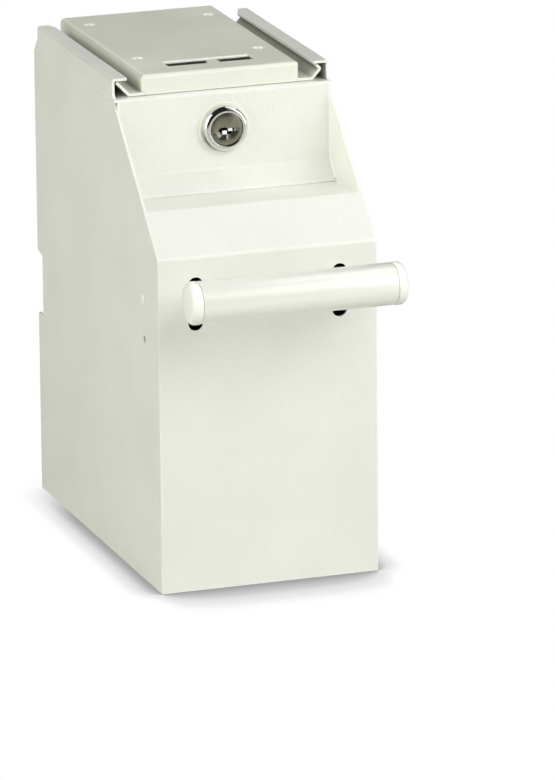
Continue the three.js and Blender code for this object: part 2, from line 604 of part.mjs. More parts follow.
// Cam lock pieces, round the y axis: y = 0 is the panel's outer face and +y points inside
function lockHousing(bodyLength) {
  const rim = BEZEL_RADIUS;
  const seat = PLUG_FACE_RADIUS + PIN_PLAY;
  const bore = PLUG_RADIUS + PIN_PLAY;
  const floor = -BEZEL_PROUD + PLUG_RECESS + PLUG_FACE_THICKNESS + PIN_PLAY;
  const nose = [];
  for (let i = 0; i <= ROUND_STEPS; i++) {
    const angle = Math.PI / 2 * i / ROUND_STEPS;
    const radius = rim - BEZEL_TAPER * (1 - Math.cos(angle));
    nose.push([radius, -BEZEL_PROUD + BEZEL_DOME * (1 - Math.sin(angle))]);
  }
  const bezel = turned('y', [[bore, 0], [rim, 0], ...nose, [seat, -BEZEL_PROUD], [seat, floor],
    [bore, floor]]);
  const tube = turned('y', [[bore, -0.1], [LOCK_BODY_RADIUS, -0.1], [LOCK_BODY_RADIUS, bodyLength],
    [bore, bodyLength]], 32);
  const flats = block(-LOCK_BODY_RADIUS, LOCK_BODY_RADIUS, -0.1, bodyLength, -LOCK_FLAT, LOCK_FLAT);
  return bezel.add(tube.intersect(flats));
}

function lockCollar() {
  const seat = LOCK_BODY_RADIUS + PIN_PLAY;
  return turned('y', [[seat, 0], [COLLAR_RADIUS, 0], [COLLAR_RADIUS, -COLLAR_THICKNESS / 2],
    [COLLAR_RADIUS - COLLAR_THICKNESS / 2, -COLLAR_THICKNESS], [seat, -COLLAR_THICKNESS]]);
}

function lockPlug(bodyLength) {
  const face = -BEZEL_PROUD + PLUG_RECESS;
  const end = bodyLength + RUN / 2;
  const tailEnd = bodyLength + RUN + CAM_THICKNESS - PIN_PLAY;
  const behind = face + PLUG_FACE_THICKNESS;
  const disc = turned('y', [[0, face], [PLUG_FACE_RADIUS, face], [PLUG_FACE_RADIUS, behind],
    [PLUG_RADIUS, behind], [PLUG_RADIUS, end], [0, end]]);
  const tail = block(-TAIL_HALF, TAIL_HALF, end - 1, tailEnd, -TAIL_HALF, TAIL_HALF);
  const keyway = block(-KEYWAY_WIDTH / 2, KEYWAY_WIDTH / 2, face - 1, face + KEYWAY_DEPTH,
    -KEYWAY_HEIGHT / 2, KEYWAY_HEIGHT / 2);
  const bore = SCREW_RADIUS + PIN_PLAY;
  const start = tailEnd - SCREW_LENGTH;
  const screwBore = turned('y', [[0, start], [bore, start], [bore, tailEnd + 1], [0, tailEnd + 1]], 20);
  return disc.add(tail).subtract(keyway.add(screwBore));
}

function lockNut() {
  const corner = NUT_FLATS / Math.cos(Math.PI / 6);
  const hexagon = [];
  for (let i = 0; i < 6; i++) {
    const angle = Math.PI / 6 + i * Math.PI / 3;
    hexagon.push([corner * Math.cos(angle + Math.PI / 6), corner * Math.sin(angle + Math.PI / 6)]);
  }
  const hole = circle(0, 0, LOCK_BODY_RADIUS + PIN_PLAY, 32);
  return extrude('y', hexagon, SHEET + SEAM, SHEET + SEAM + NUT_THICKNESS, [hole]);
}

// Cam that points up, with a round hub and a round tip
function lockCam(bodyLength, length) {
  const y0 = bodyLength + RUN;
  const y1 = y0 + CAM_THICKNESS;
  const tip = [];
  const count = 12;
  for (let i = 0; i <= count; i++) {
    const x = CAM_WIDTH / 2 * (1 - 2 * i / count);
    tip.push([x, Math.sqrt(length * length - x * x)]);
  }
  const bar = extrude('y', [[-CAM_WIDTH / 2, 0], [CAM_WIDTH / 2, 0], ...tip], y0, y1);
  const hub = extrude('y', circle(0, 0, CAM_HUB_RADIUS, 32), y0, y1);
  const hole = TAIL_HALF + PIN_PLAY;
  return bar.add(hub).subtract(block(-hole, hole, y0 - 1, y1 + 1, -hole, hole));
}

function camScrew(bodyLength) {
  const seat = bodyLength + RUN + CAM_THICKNESS + PIN_PLAY / 2;
  const head = SCREW_HEAD_RADIUS;
  const tailEnd = bodyLength + RUN + CAM_THICKNESS - PIN_PLAY;
  const start = tailEnd - SCREW_LENGTH + RUN;
  const body = turned('y', [[0, start], [SCREW_RADIUS, start], [SCREW_RADIUS, seat], [head, seat],
    [head, seat + SCREW_HEAD * 0.6], [head * 0.7, seat + SCREW_HEAD], [0, seat + SCREW_HEAD]], 24);
  const cross = SCREW_HEAD_RADIUS * 0.6;
  const slit = 0.5;
  const top = seat + SCREW_HEAD;
  return body.subtract(union(
    block(-cross, cross, top - 1, top + 1, -slit, slit),
    block(-slit, slit, top - 1, top + 1, -cross, cross)));
}

// Grip tube with a hole in its rear wall for each arm; local origin on its axis
function gripTube() {
  const half = GRIP_LENGTH / 2;
  const inner = GRIP_RADIUS - GRIP_WALL;
  const tube = turned('x', [[inner, -half], [GRIP_RADIUS, -half], [GRIP_RADIUS, half], [inner, half]]);
  const holes = [-1, 1].map((side) => {
    const outline = circle(side * ARM_X, 0, ARM_RADIUS + PIN_PLAY);
    return extrude('y', outline, 0, GRIP_RADIUS + 1);
  });
  return tube.subtract(union(...holes));
}

// End cap for the right end; its spigot fits inside the tube
function endCap() {
  const seat = GRIP_LENGTH / 2 + SEAM;
  const spigot = GRIP_RADIUS - GRIP_WALL - PIN_PLAY;
  const end = seat + CAP_LENGTH;
  const outer = GRIP_RADIUS + CAP_LIP;
  const rim = [];
  for (let i = 0; i <= ROUND_STEPS; i++) {
    const angle = Math.PI / 2 * i / ROUND_STEPS;
    rim.push([outer - CAP_ROUND * (1 - Math.cos(angle)), end - CAP_ROUND * (1 - Math.sin(angle))]);
  }
  return turned('x', [[0, seat - SPIGOT_LENGTH], [spigot, seat - SPIGOT_LENGTH], [spigot, seat],
    [outer, seat], ...rim, [0, end]]);
}

// Arm: a round bar with an eye round the pivot; the bar ends inside the grip tube
function handleArm(side) {
  const x = side * ARM_X;
  const bar = extrude('y', circle(x, 0, ARM_RADIUS), -ARM_LENGTH, -SHAFT_RADIUS - RUN);
  const eye = extrude('x', circle(0, 0, EYE_RADIUS), x - EYE_WIDTH / 2, x + EYE_WIDTH / 2);
  const bore = extrude('x', circle(0, 0, SHAFT_RADIUS + PIN_PLAY), x - EYE_WIDTH, x + EYE_WIDTH);
  return bar.add(eye).subtract(bore);
}

// Shaft through both side panels, riveted over outside
function pivotShaft() {
  const end = WIDTH / 2 + SEAM;
  const head = end + SHAFT_HEAD;
  const crown = SHAFT_HEAD_RADIUS * 0.75;
  return turned('x', [[0, -head], [crown, -head], [SHAFT_HEAD_RADIUS, -end - SHAFT_HEAD / 3],
    [SHAFT_HEAD_RADIUS, -end], [SHAFT_RADIUS, -end], [SHAFT_RADIUS, end], [SHAFT_HEAD_RADIUS, end],
    [SHAFT_HEAD_RADIUS, end + SHAFT_HEAD / 3], [crown, head], [0, head]], 24);
}

// Ring round the pivot shaft
function ring(from, to, radius) {
  return extrude('x', circle(0, 0, radius), from, to, [circle(0, 0, SHAFT_RADIUS + PIN_PLAY)]);
}

// Block with rounded upper edges and upright corners at the front and sides
function hatBlock(grow, top, front, rear) {
  const half = HAT_WIDTH / 2 + grow;
  const round = HAT_RADIUS + grow;
  const low = DECK_TOP - 1;
  const corners = [[-half, low], [-half, top], [half, top], [half, low]];
  const across = roundedPath(corners, [0, round, round, 0]);
  const along = roundedPath([[front, low], [front, top], [rear, top], [rear, low]], [0, round, 0, 0]);
  const sides = [[-half, rear], [-half, front], [half, front], [half, rear]];
  const plan = roundedPath(sides, [0, round, round, 0]);
  return extrude('y', across, front - 1, rear)
    .intersect(extrude('x', along, -half - 1, half + 1))
    .intersect(extrude('z', plan, low, top + 1));
}

// Wing on one side, seen from the front: a flat foot, then a slant up under the rail's lip.
// A curled wing has its tip turned back in.
function wingSection(side, curled) {
  const foot = DECK_TOP + RUN;
  const wall = HAT_WIDTH / 2;
  const knee = wall + FLANGE_REACH;
  const tipX = SIDE_IN - 2 * RUN;
  const tipZ = RAIL_TOP - SHEET - RUN - SHEET * Math.cos(Math.PI / 4);
  const slant = (tipZ - foot) / (tipX - knee);
  const turnX = curled ? tipX - CURL_SETBACK : tipX;
  const turnZ = foot + (turnX - knee) * slant;
  const points = [[side * (wall - SHEET), foot], [side * knee, foot], [side * turnX, turnZ]];
  if (curled) points.push([side * (turnX - CURL_LENGTH), RAIL_TOP - SHEET - RUN]);
  const radii = points.map((point, i) => (i === 1 ? SHEET / 2 : SHEET * 1.25));
  const path = side < 0 ? [...points].reverse() : points;
  if (side < 0) radii.reverse();
  return foldedSheet(path, radii);
}

function mountingBracket() {
  const front = RAIL_FRONT;
  const rear = RAIL_FRONT + BRACKET_LENGTH;
  const foot = DECK_TOP + RUN;
  const outer = hatBlock(0, PLATE_TOP, front, rear + 3 * HAT_RADIUS);
  const inner = hatBlock(-SHEET, PLATE_TOP - SHEET, front + SHEET, rear + 4 * HAT_RADIUS);
  const keep = block(-HAT_WIDTH, HAT_WIDTH, front - 1, rear, foot, PLATE_TOP + 1);
  let bracket = outer.subtract(inner).intersect(keep);
  bracket = bracket.add(extrude('y', wingSection(-1, false), front, rear - LEFT_WING_INSET));
  bracket = bracket.add(extrude('y', wingSection(1, true), front, rear - RIGHT_WING_INSET));
  return bracket.subtract(union(...screwHoles(), strikeSlot()));
}

// Round holes with a broken edge on top, two and two
function screwHoles() {
  const deep = PLATE_TOP - SHEET - 1;
  const holes = [];
  for (const side of [-1, 1]) {
    for (const row of [0, 1]) {
      const x = side * (HAT_WIDTH / 2 - SCREW_INSET);
      const y = RAIL_FRONT + (row ? BRACKET_LENGTH - SCREW_REAR : SCREW_FRONT);
      const profile = [
        [0, deep], [SCREW_HOLE_RADIUS, deep], [SCREW_HOLE_RADIUS, PLATE_TOP - SHEET],
        [SINK_RADIUS, PLATE_TOP], [SINK_RADIUS, PLATE_TOP + 1], [0, PLATE_TOP + 1],
      ];
      holes.push(turned('z', profile, 24, [x, y, 0]));
    }
  }
  return holes;
}

// Slot for the lock's cam, with the nib on its front edge
function strikeSlot() {
  const half = STRIKE_WIDTH / 2;
  const nib = NIB_WIDTH / 2;
  const rear = STRIKE_FRONT + STRIKE_DEPTH;
  const arc = [];
  for (let i = 0; i <= 10; i++) {
    const angle = Math.PI * i / 10;
    const y = STRIKE_FRONT + NIB_LENGTH - nib + nib * Math.sin(angle);
    arc.push([NIB_OFFSET - nib * Math.cos(angle), y]);
  }
  const outline = [
    [-half, STRIKE_FRONT], [NIB_OFFSET - nib, STRIKE_FRONT], ...arc, [NIB_OFFSET + nib, STRIKE_FRONT],
    [half, STRIKE_FRONT], [half, rear], [-half, rear],
  ];
  return extrude('z', outline, PLATE_TOP - SHEET - 1, PLATE_TOP + 1);
}

// Flap behind the note slot: it hangs from its pin and rests against the ledge's lip.
// Local origin on the pin.
function noteFlap() {
  const face = LEDGE_REACH + SEAM - FLAP_PIN_DEPTH;
  const low = ledgeZ(LEDGE_REACH) - FLAP_LAP - FLAP_PIN_HEIGHT;
  const section = foldedSheet(
    [[face, 0], [face, low], [face + FLAP_HEM, low]],
    [0, FLAP_SHEET * 1.5, 0], FLAP_SHEET);
  const half = FLAP_WIDTH / 2;
  const plate = extrude('x', section, -half, half);
  const window = half - FLAP_EYE_WIDTH;
  const inset = -FLAP_PIN_RADIUS - RUN;
  const open = block(-window, window, face - 1, FLAP_EYE_RADIUS + 1, inset, FLAP_EYE_RADIUS);
  const eyes = extrude('x', circle(0, 0, FLAP_EYE_RADIUS), -half, half);
  const bore = extrude('x', circle(0, 0, FLAP_PIN_RADIUS + PIN_PLAY, 16), -FLAP_WIDTH, FLAP_WIDTH);
  const middle = block(-window, window, -FLAP_EYE_RADIUS - 1, FLAP_EYE_RADIUS + 1, -FLAP_EYE_RADIUS - 1,
    FLAP_EYE_RADIUS + 1);
  return plate.subtract(open).add(eyes.subtract(middle)).subtract(bore);
}

// Housing
add(housing, 'side_panel_left', sidePanel(-1), paint);
add(housing, 'side_panel_right', sidePanel(1), paint);
add(housing, 'front_panel', frontPanel(), paint);
add(housing, 'top_deck', topDeck(), paint);
add(housing, 'bottom_panel', bottomPanel(), paint);
add(housing, 'slot_shield', slotShield(), paint);
add(housing, 'door_jamb', doorJamb(), paint);
add(housing, 'hinge_leaf', hingeLeaf(), paint);
add(housing, 'hinge_pin', hingePin(), zinc);
add(housing, 'mounting_bracket', mountingBracket(), bracketPaint);

// Front lock: its cam points left at rest and turns up into the bracket's slot
const frontLock = new THREE.Group();
frontLock.position.set(0, PANEL_SETBACK, LOCK_HEIGHT);
housing.add(frontLock);
add(frontLock, 'lock_collar', lockCollar(), paint);
const frontLockFace = new THREE.Group();
frontLockFace.position.y = -COLLAR_THICKNESS - SEAM;
frontLock.add(frontLockFace);
const frontBody = FRONT_CAM - RUN - PANEL_SETBACK + COLLAR_THICKNESS + SEAM;
const frontNut = add(frontLock, 'lock_nut', lockNut(), zinc);
frontNut.rotation.y = Math.PI / 6;
add(frontLockFace, 'lock_housing', lockHousing(frontBody), chrome);
add(frontLockFace, 'lock_plug', lockPlug(frontBody), satin);
const frontCam = add(frontLockFace, 'lock_cam', lockCam(frontBody, CAM_REACH), zinc);
frontCam.rotation.y = -Math.PI / 2;
add(frontLockFace, 'lock_cam_screw', camScrew(frontBody), zinc);

// Rear door and its lock: that cam points down at rest and turns behind the jamb
add(housing, 'rear_door', rearDoor(), paint);
const doorLock = new THREE.Group();
doorLock.position.set(DOOR_LOCK_X, DOOR_FACE, DOOR_LOCK_HEIGHT);
doorLock.rotation.z = Math.PI;
housing.add(doorLock);
const doorBody = DOOR_FACE - DOOR_CAM_FRONT - RUN;
add(doorLock, 'door_lock_housing', lockHousing(doorBody), chrome);
add(doorLock, 'door_lock_nut', lockNut(), zinc);
add(doorLock, 'door_lock_plug', lockPlug(doorBody), satin);
const doorCam = add(doorLock, 'door_lock_cam', lockCam(doorBody, DOOR_CAM_LENGTH), zinc);
doorCam.rotation.y = Math.PI;
add(doorLock, 'door_cam_screw', camScrew(doorBody), zinc);

// Handle, turned up about its pivot
const handle = new THREE.Group();
handle.position.set(0, PIVOT_DEPTH, PIVOT_HEIGHT);
handle.rotation.x = -HANDLE_TILT;
housing.add(handle);
add(handle, 'handle_arm_left', handleArm(-1), paint);
add(handle, 'handle_arm_right', handleArm(1), paint);
const grip = new THREE.Group();
grip.position.y = -ARM_LENGTH;
handle.add(grip);
add(grip, 'grip_tube', gripTube(), paint);
add(grip, 'end_cap_right', endCap(), capPlastic);
add(grip, 'end_cap_left', endCap(), capPlastic).rotation.z = Math.PI;

// Pivot shaft with its spacers and friction washers
const pivot = new THREE.Group();
pivot.position.set(0, PIVOT_DEPTH, PIVOT_HEIGHT);
housing.add(pivot);
add(pivot, 'pivot_shaft', pivotShaft(), paint);
const eyeOut = ARM_X + EYE_WIDTH / 2;
const eyeIn = ARM_X - EYE_WIDTH / 2;
const washerIn = eyeOut + SEAM;
const washerOut = washerIn + WASHER_THICKNESS;
add(pivot, 'centre_spacer', ring(-eyeIn + RUN, eyeIn - RUN, SPACER_RADIUS), zinc);
for (const [side, name] of [[-1, 'left'], [1, 'right']]) {
  const washer = [side * washerIn, side * washerOut].sort((a, b) => a - b);
  const spacer = [side * (washerOut + SEAM), side * BETWEEN].sort((a, b) => a - b);
  add(pivot, `friction_washer_${name}`, ring(...washer, WASHER_RADIUS), nylon);
  add(pivot, `outer_spacer_${name}`, ring(...spacer, SPACER_RADIUS), zinc);
}

// Note flap on its pin
const flapPivot = new THREE.Group();
flapPivot.position.set(0, FLAP_PIN_DEPTH, FLAP_PIN_HEIGHT);
housing.add(flapPivot);
add(flapPivot, 'note_flap', noteFlap(), zinc);
add(flapPivot, 'flap_pin', extrude('x', circle(0, 0, FLAP_PIN_RADIUS, 16), -BETWEEN, BETWEEN), zinc);

const object = new THREE.Group();
object.add(housing);
export default object;
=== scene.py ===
# Under-counter drop safe on its counter bracket: painted sheet steel, bar handle, cam locks.
import math

import bmesh
import bpy
from bpy.props import FloatProperty, FloatVectorProperty, IntProperty, PointerProperty
from mathutils import Matrix, Vector


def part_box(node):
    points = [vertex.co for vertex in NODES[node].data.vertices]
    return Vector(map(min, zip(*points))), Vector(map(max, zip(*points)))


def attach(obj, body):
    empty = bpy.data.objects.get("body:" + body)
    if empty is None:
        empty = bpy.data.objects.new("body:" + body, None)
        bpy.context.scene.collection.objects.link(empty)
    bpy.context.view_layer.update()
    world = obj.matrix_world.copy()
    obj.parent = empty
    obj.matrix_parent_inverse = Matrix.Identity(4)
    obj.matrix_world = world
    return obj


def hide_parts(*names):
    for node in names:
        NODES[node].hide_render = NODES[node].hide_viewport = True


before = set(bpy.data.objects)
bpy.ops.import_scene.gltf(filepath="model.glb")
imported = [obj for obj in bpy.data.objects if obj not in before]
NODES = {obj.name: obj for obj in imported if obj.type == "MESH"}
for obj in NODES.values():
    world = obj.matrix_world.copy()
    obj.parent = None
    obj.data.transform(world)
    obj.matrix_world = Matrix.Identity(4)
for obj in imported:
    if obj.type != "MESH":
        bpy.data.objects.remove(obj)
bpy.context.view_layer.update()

bl_info = {
    "name": "Under-counter drop safe",
    "version": (1, 0, 0),
    "blender": (4, 5, 0),
    "location": "View3D > Sidebar > Drop safe",
    "description": "Dresses a slim drop safe with painted sheets, a bar handle and cam locks",
    "category": "Object",
}

MM = 0.001


def node_box(node):
    """Lowest and highest corner of a CAD node, in millimetres."""
    low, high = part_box(node)
    return Vector(low) / MM, Vector(high) / MM


GRIP_LOW, GRIP_HIGH = node_box("grip_tube")
GRIP_CENTRE = (GRIP_LOW + GRIP_HIGH) / 2
CAP_LOW, CAP_HIGH = node_box("end_cap_right")
LOCK_LOW, LOCK_HIGH = node_box("lock_housing")
LOCK_CENTRE = (LOCK_LOW + LOCK_HIGH) / 2
COLLAR_LOW, COLLAR_HIGH = node_box("lock_collar")
DOOR_LOCK_LOW, DOOR_LOCK_HIGH = node_box("door_lock_housing")
DOOR_LOCK_CENTRE = (DOOR_LOCK_LOW + DOOR_LOCK_HIGH) / 2
PIN_LOW, PIN_HIGH = node_box("hinge_pin")
SHAFT_LOW, SHAFT_HIGH = node_box("pivot_shaft")
SIDE_LOW, SIDE_HIGH = node_box("side_panel_left")
FRONT_LOW, FRONT_HIGH = node_box("front_panel")
BRACKET_LOW, BRACKET_HIGH = node_box("mounting_bracket")

# Lines of (y, z), in millimetres, along which the recess's sheets meet the side panels
FRONT_Y = FRONT_LOW.y
PANEL_LINE = [(FRONT_Y + y, z) for y, z in ((58.0, 211.5), (58.0, 177.4), (57.6, 176.6), (50.6, 169.6))]
LEDGE_LINE = [(FRONT_Y + y, z) for y, z in ((59.0, 167.35), (18.9, 170.85))]
# Key slot's height against the plug's axis, and its wards: left, right, low, high, lean of the upper edge
KEYWAY_SINK = -0.65
WARDS = ((-2.0, 0.1, -1.5, 0.0, 0.5), (0.7, 2.7, -0.25, 1.0, 0.5))
# Soft lip at the facet's lower edge that hides the note slot: section as (y, z)
WIPER_LIP = [(FRONT_Y + y, z) for y, z in ((49.8, 168.24), (51.05, 168.13), (51.1, 168.8), (50.1, 168.85))]
# Gap between that lip's ends and the outsides of the side panels
WIPER_GAP = 0.3
# Strike slot in the bracket: its rear edge behind the bracket's front, and half its width
STRIKE_REAR = 21.8
STRIKE_HALF = 20.2
# Lip on the strike slot's rear edge, lit bright and in a lighter paint that is partly a painted highlight:
# section as (y, z), and how far below the bracket's top it lies
STRIKE_LIP = ((-0.45, -0.95), (0.2, -0.95), (0.2, -0.3), (0.0, 0.0), (-0.45, -0.35))
STRIKE_LIP_SINK = 0.25
# Bracket's right wing: its rear end, where it is cut back, and by how much
WING_INSIDE = 38.0
WING_REAR = 75.0
WING_TRIM = 6.0
# Filled weld between a side panel and the deck: start behind the front, end before the rear, section (x, z)
SEAM_START = 59.0
SEAM_REAR_INSET = 5.8
DECK_SEAM = [(49.9, 210.9), (50.35, 210.95), (50.9, 211.32), (50.9, 211.72), (50.35, 212.05), (49.9, 212.1)]
# End cap: stub in the tube with its play, gap, dome of its end and its radii, groove from rim and seat
CAP_STUB = 6.0
CAP_PLAY = 0.2
CAP_GAP = 0.12
CAP_DOME = 0.35
CAP_CROWN = (5.0, 3.5, 2.0, 0.0)
CAP_GROOVE = ((-0.7, 0.0), (-0.7, 0.25), (-0.12, 0.3), (0.0, 0.55))
# Riveted head: (share of its radius, depth below its top) from its rim inwards, its foot and the shaft
RIVET_CROWN = ((1.0, 0.55), (0.96, 0.4), (0.82, 0.22), (0.55, 0.08), (0.3, 0.02), (0.0, 0.0))
RIVET_REST = 0.6
SHAFT_RADIUS = 2.5
# Grip tube: its wall and the rounding of its ends; rounding of the arms, cams, leaf, flap and knuckles
TUBE_WALL = 1.2
TUBE_LIP = 0.35
ARM_EDGE = 0.25
CAM_EDGE = 0.2
LEAF_EDGE = 0.2
FLAP_EDGE = 0.15
KNUCKLE_EDGE = 0.25
# Door hinge: bore of its knuckles and the gap at each of their ends
KNUCKLE_BORE = 1.6
KNUCKLE_GAP = 0.15
# Weld fillets: how deep their foot lies in the sheet, and how far they reach into the side panel
FILLET_FOOT = 0.25
FILLET_SINK = 0.2
# Key slot: (height over the plug's face, growth of its outline), its growth sideways, and its outline
KEYWAY_LEVELS = ((0.9, 1.9), (0.0, 1.22), (-0.7, 1.0), (-6.0, 1.0))
KEYWAY_SPREAD = 0.8
KEYWAY_TOP = ((-2.9, 1.15), (-0.4, 1.35), (0.3, 0.9), (2.6, 1.15))
KEYWAY_BOTTOM = ((2.6, -0.7), (1.6, -1.6), (0.5, -1.6), (-0.2, -1.35), (-2.2, -1.45), (-2.9, -0.6))
# Depth of its bevelled mouth, and the wards' place in it
KEYWAY_MOUTH = 0.72
WARD_SINK = 0.25
WARD_LENGTH = 2.0
# Faces of a block by the numbers of its corners: four in front, then four behind them
BLOCK_FACES = ((0, 1, 2, 3), (7, 6, 5, 4), (0, 4, 5, 1), (1, 5, 6, 2), (2, 6, 7, 3), (3, 7, 4, 0))
# Plug: (inset, depth) of its rim, play in the bezel, height of its head, end's step, radius of body and tail
PLUG_RIM = ((0.3, 0.0), (0.08, 0.1), (0.0, 0.35))
PLUG_PLAY = 0.2
PLUG_HEAD = 1.4
PLUG_STEP = 0.4
PLUG_BODY = 5.3
PLUG_TAIL = 3.2
# Material slots of a plug: first what the cutter leaves, then what it is given
CUT_SLOT = 1
SHADE_SLOT = 2
NICKEL_SLOT = 3
WARD_SLOT = 4
# Lock bezel: barrel and its bore, rounding of the front ring's inner edge, pocket behind the plug's face
BARREL_RADIUS = 7.9
BARREL_BORE = 5.6
LIP_ROUND = 0.35
BEZEL_POCKET = 1.5
# Where the painted shade begins on the bezel's dome, as a share of its height
FOOT_START = 0.27
# Collar under the front bezel
COLLAR_BORE = 8.2
COLLAR_ROUND = 0.4
# Soft lights: side, distance and aim's height in metres; colour of those turned past this many radians
LIGHT_SIZE = 0.9
LIGHT_DISTANCE = 1.6
LIGHT_AIM = 0.11
WARM = (1.0, 1.0, 0.945)
WARM_TURN = -1.0
# Each light: name, turn and height in degrees, power in watts, mirrored in the chrome or not
SOFT_BOXES = (
    ("left_low_light", -80, 12, 7.4, True),
    ("left_light", -80, 35, 5.5, True),
    ("front_left_low_light", -40, 12, 4.9, False),
    ("front_left_high_light", -40, 60, 1.8, False),
    ("front_right_light", 20, 35, 11.8, False),
    ("right_low_light", 50, 12, 5.5, True),
    ("right_light", 50, 35, 2.9, True),
    ("right_high_light", 90, 60, 3.0, True),
    ("back_light", 180, 50, 2.5, True),
    ("back_low_light", 180, 10, 4.5, False),
)
# Floor: reach and depth in metres, and the colour and strength of its faint glow
FLOOR_REACH = 12.0
FLOOR_DROP = 0.0002
FILL = (1.0, 1.0, 0.92, 1.0)
FLOOR_GLOW = 0.051
# Contact shadow: (openness, grey), then in metres where it fades towards the rear and its width by the side
SHADOW_STOPS = ((0.50, 0.34), (0.60, 0.52), (0.78, 0.80), (0.95, 1.0))
SHADOW_FADE = (0.03, 0.10)
SHADOW_FADE_MOST = 0.85
SHADOW_SIDE = (0.049, 0.056)
SHADOW_WIDTH = (0.042, 0.019)
# Strength of the light from all around: for most rays, and for those that mirror it
WORLD_LIGHT = (0.1, 0.02)
# Camera: turn, height and roll in degrees, place in metres, focal length and picture height in pixels
CAMERA_ANGLES = (-18.97, 15.90, -0.56)
CAMERA_SPOT = (-1.05905, -3.18175, 1.02036)
FOCAL_PIXELS = 7672.7
PICTURE_PIXELS = 780
SENSOR = 36.0


def size(name, description, default, low=0.01):
    """A length in millimetres that a user may change."""
    return FloatProperty(name=name, description=description, default=default, min=low, soft_max=default * 2)


def colour(name, description, default):
    """A paint, plastic or metal colour that a user may change."""
    return FloatVectorProperty(name=name, description=description, default=default, subtype="COLOR",
                               size=3, min=0.0, max=1.0)


class SafeSizes(bpy.types.PropertyGroup):
    """Sizes of the fine shapes, in millimetres."""
    sheet_edge: size("Sheet edge", "Rounding of the housing's cut and folded sheet edges", 0.3)
    front_edge: size("Front edge", "Rounding of the front sheet's edges", 0.52)
    bracket_edge: size("Bracket edge", "Rounding of the bracket's cut edges", 0.28)
    grip_radius: size("Grip radius", "Outside radius of the grip tube", (GRIP_HIGH.z - GRIP_LOW.z) / 2)
    grip_length: size("Grip length", "Length of the grip tube between its end caps", GRIP_HIGH.x - GRIP_LOW.x)
    cap_radius: size("Cap radius", "Radius of an end cap", (CAP_HIGH.z - CAP_LOW.z) / 2)
    cap_end: size("Cap end", "Outer face of an end cap, from the middle of the grip", CAP_HIGH.x)
    cap_round: size("Cap rounding", "Rounding of an end cap's rim", 2.6)
    bezel_radius: size("Bezel radius", "Outside radius of a lock's chromed bezel",
                       (LOCK_HIGH.x - LOCK_LOW.x) / 2)
    bezel_proud: size("Bezel height", "Height of a lock's bezel above its seat", 3.6)
    bezel_taper: size("Bezel taper", "How much smaller the front ring of the bezel's dome is in radius", 2.2)
    bezel_dome: size("Bezel dome", "Height of the domed part of the bezel", 2.6)
    plug_radius: size("Plug radius", "Radius of the plug's face", 7.4)
    plug_recess: size("Plug recess", "Depth of the plug's face below the bezel's front ring", 0.5)
    keyway_width: size("Keyway width", "Width of the key slot", 7.2)
    collar_radius: size("Collar radius", "Outside radius of the thin collar under the front bezel",
                        (COLLAR_HIGH.x - COLLAR_LOW.x) / 2)
    seam_fillet: size("Seam fillet", "Leg of the filled and painted weld fillets in the recess", 1.1)
    rivet_radius: size("Rivet radius", "Radius of the pivot shaft's riveted heads",
                       (SHAFT_HIGH.z - SHAFT_LOW.z) / 2)
    knuckle_radius: size("Knuckle radius", "Outside radius of the door's hinge knuckles", 2.93)
    knuckles: IntProperty(name="Knuckles", description="Number of knuckles on the door's hinge", default=5,
                          min=2)


class SafeColours(bpy.types.PropertyGroup):
    """Colours of the finishes."""
    housing: colour("Housing paint", "Warm off-white powder coat", (0.925, 0.942, 0.878))
    bracket: colour("Bracket paint", "Duller off-white powder coat", (0.900, 0.918, 0.805))
    handle: colour("Handle paint", "Smooth off-white paint", (0.941, 0.954, 0.884))
    cap: colour("End caps", "White moulded plastic", (0.92, 0.925, 0.865))
    chrome: colour("Chrome", "Bright chrome plate", (0.82, 0.82, 0.79))
    plug: colour("Plug", "Dull cast nickel", (0.30, 0.295, 0.23))
    zinc: colour("Zinc", "Zinc plated steel", (0.48, 0.49, 0.50))
    nylon: colour("Nylon", "Natural nylon", (0.80, 0.80, 0.74))
    # Near-black: a painted shade on the shield behind the slots
    inner: colour("Shield paint", "Near-black painted shade on the shield behind the slots", (0.035, 0.036, 0.033))
    floor: colour("Floor", "Pale studio floor", (0.50, 0.50, 0.465))


def sizes():
    """The sizes that hold for this scene."""
    return bpy.context.scene.safe_sizes


def colours():
    """The colours that hold for this scene."""
    return bpy.context.scene.safe_colours


# Powder coat: waves per metre of its noises, the grain's share of the height, and what the clouds change
PEEL_SCALE = 620.0
GRAIN_SCALE = 2100.0
CLOUD_SCALE = 34.0
GRAIN_SHARE = 0.45
CLOUD_TINT = 0.09
CLOUD_GLOSS = 0.18
COAT_BUMP = 0.75
COAT_RELIEF = 0.0002
# Painted highlight along edges and painted shade in folds: how far they look, in metres, and from where to
# where they fade in
EDGE_HIGHLIGHT_REACH = 0.0012
EDGE_HIGHLIGHT_SPAN = (0.92, 0.55)
EDGE_HIGHLIGHT_COLOUR = (1.0, 1.0, 0.965, 1.0)
FOLD_SHADE_REACH = 0.012
FOLD_SHADE_SPAN = (0.64, 0.20)
FOLD_SHADE_COLOUR = (0.06, 0.06, 0.045, 1.0)
# Plated metal: waves per metre of rub marks and patches, and what they change
RUB_SCALE = 900.0
PATCH_SCALE = 160.0
PATCH_TINT = 0.35
PATCH_GLOSS = 0.25
RUB_GLOSS = 0.10
METAL_RELIEF = 0.00006
EVEN = (1.0, 1.0, 1.0)
WHITE = (1.0, 1.0, 1.0, 1.0)
GREY = (0.8, 0.8, 0.8, 1.0)
# What a group that dresses a whole surface puts out
SURFACE = (("Colour", "Color"), ("Roughness", "Float"), ("Height", "Float"))


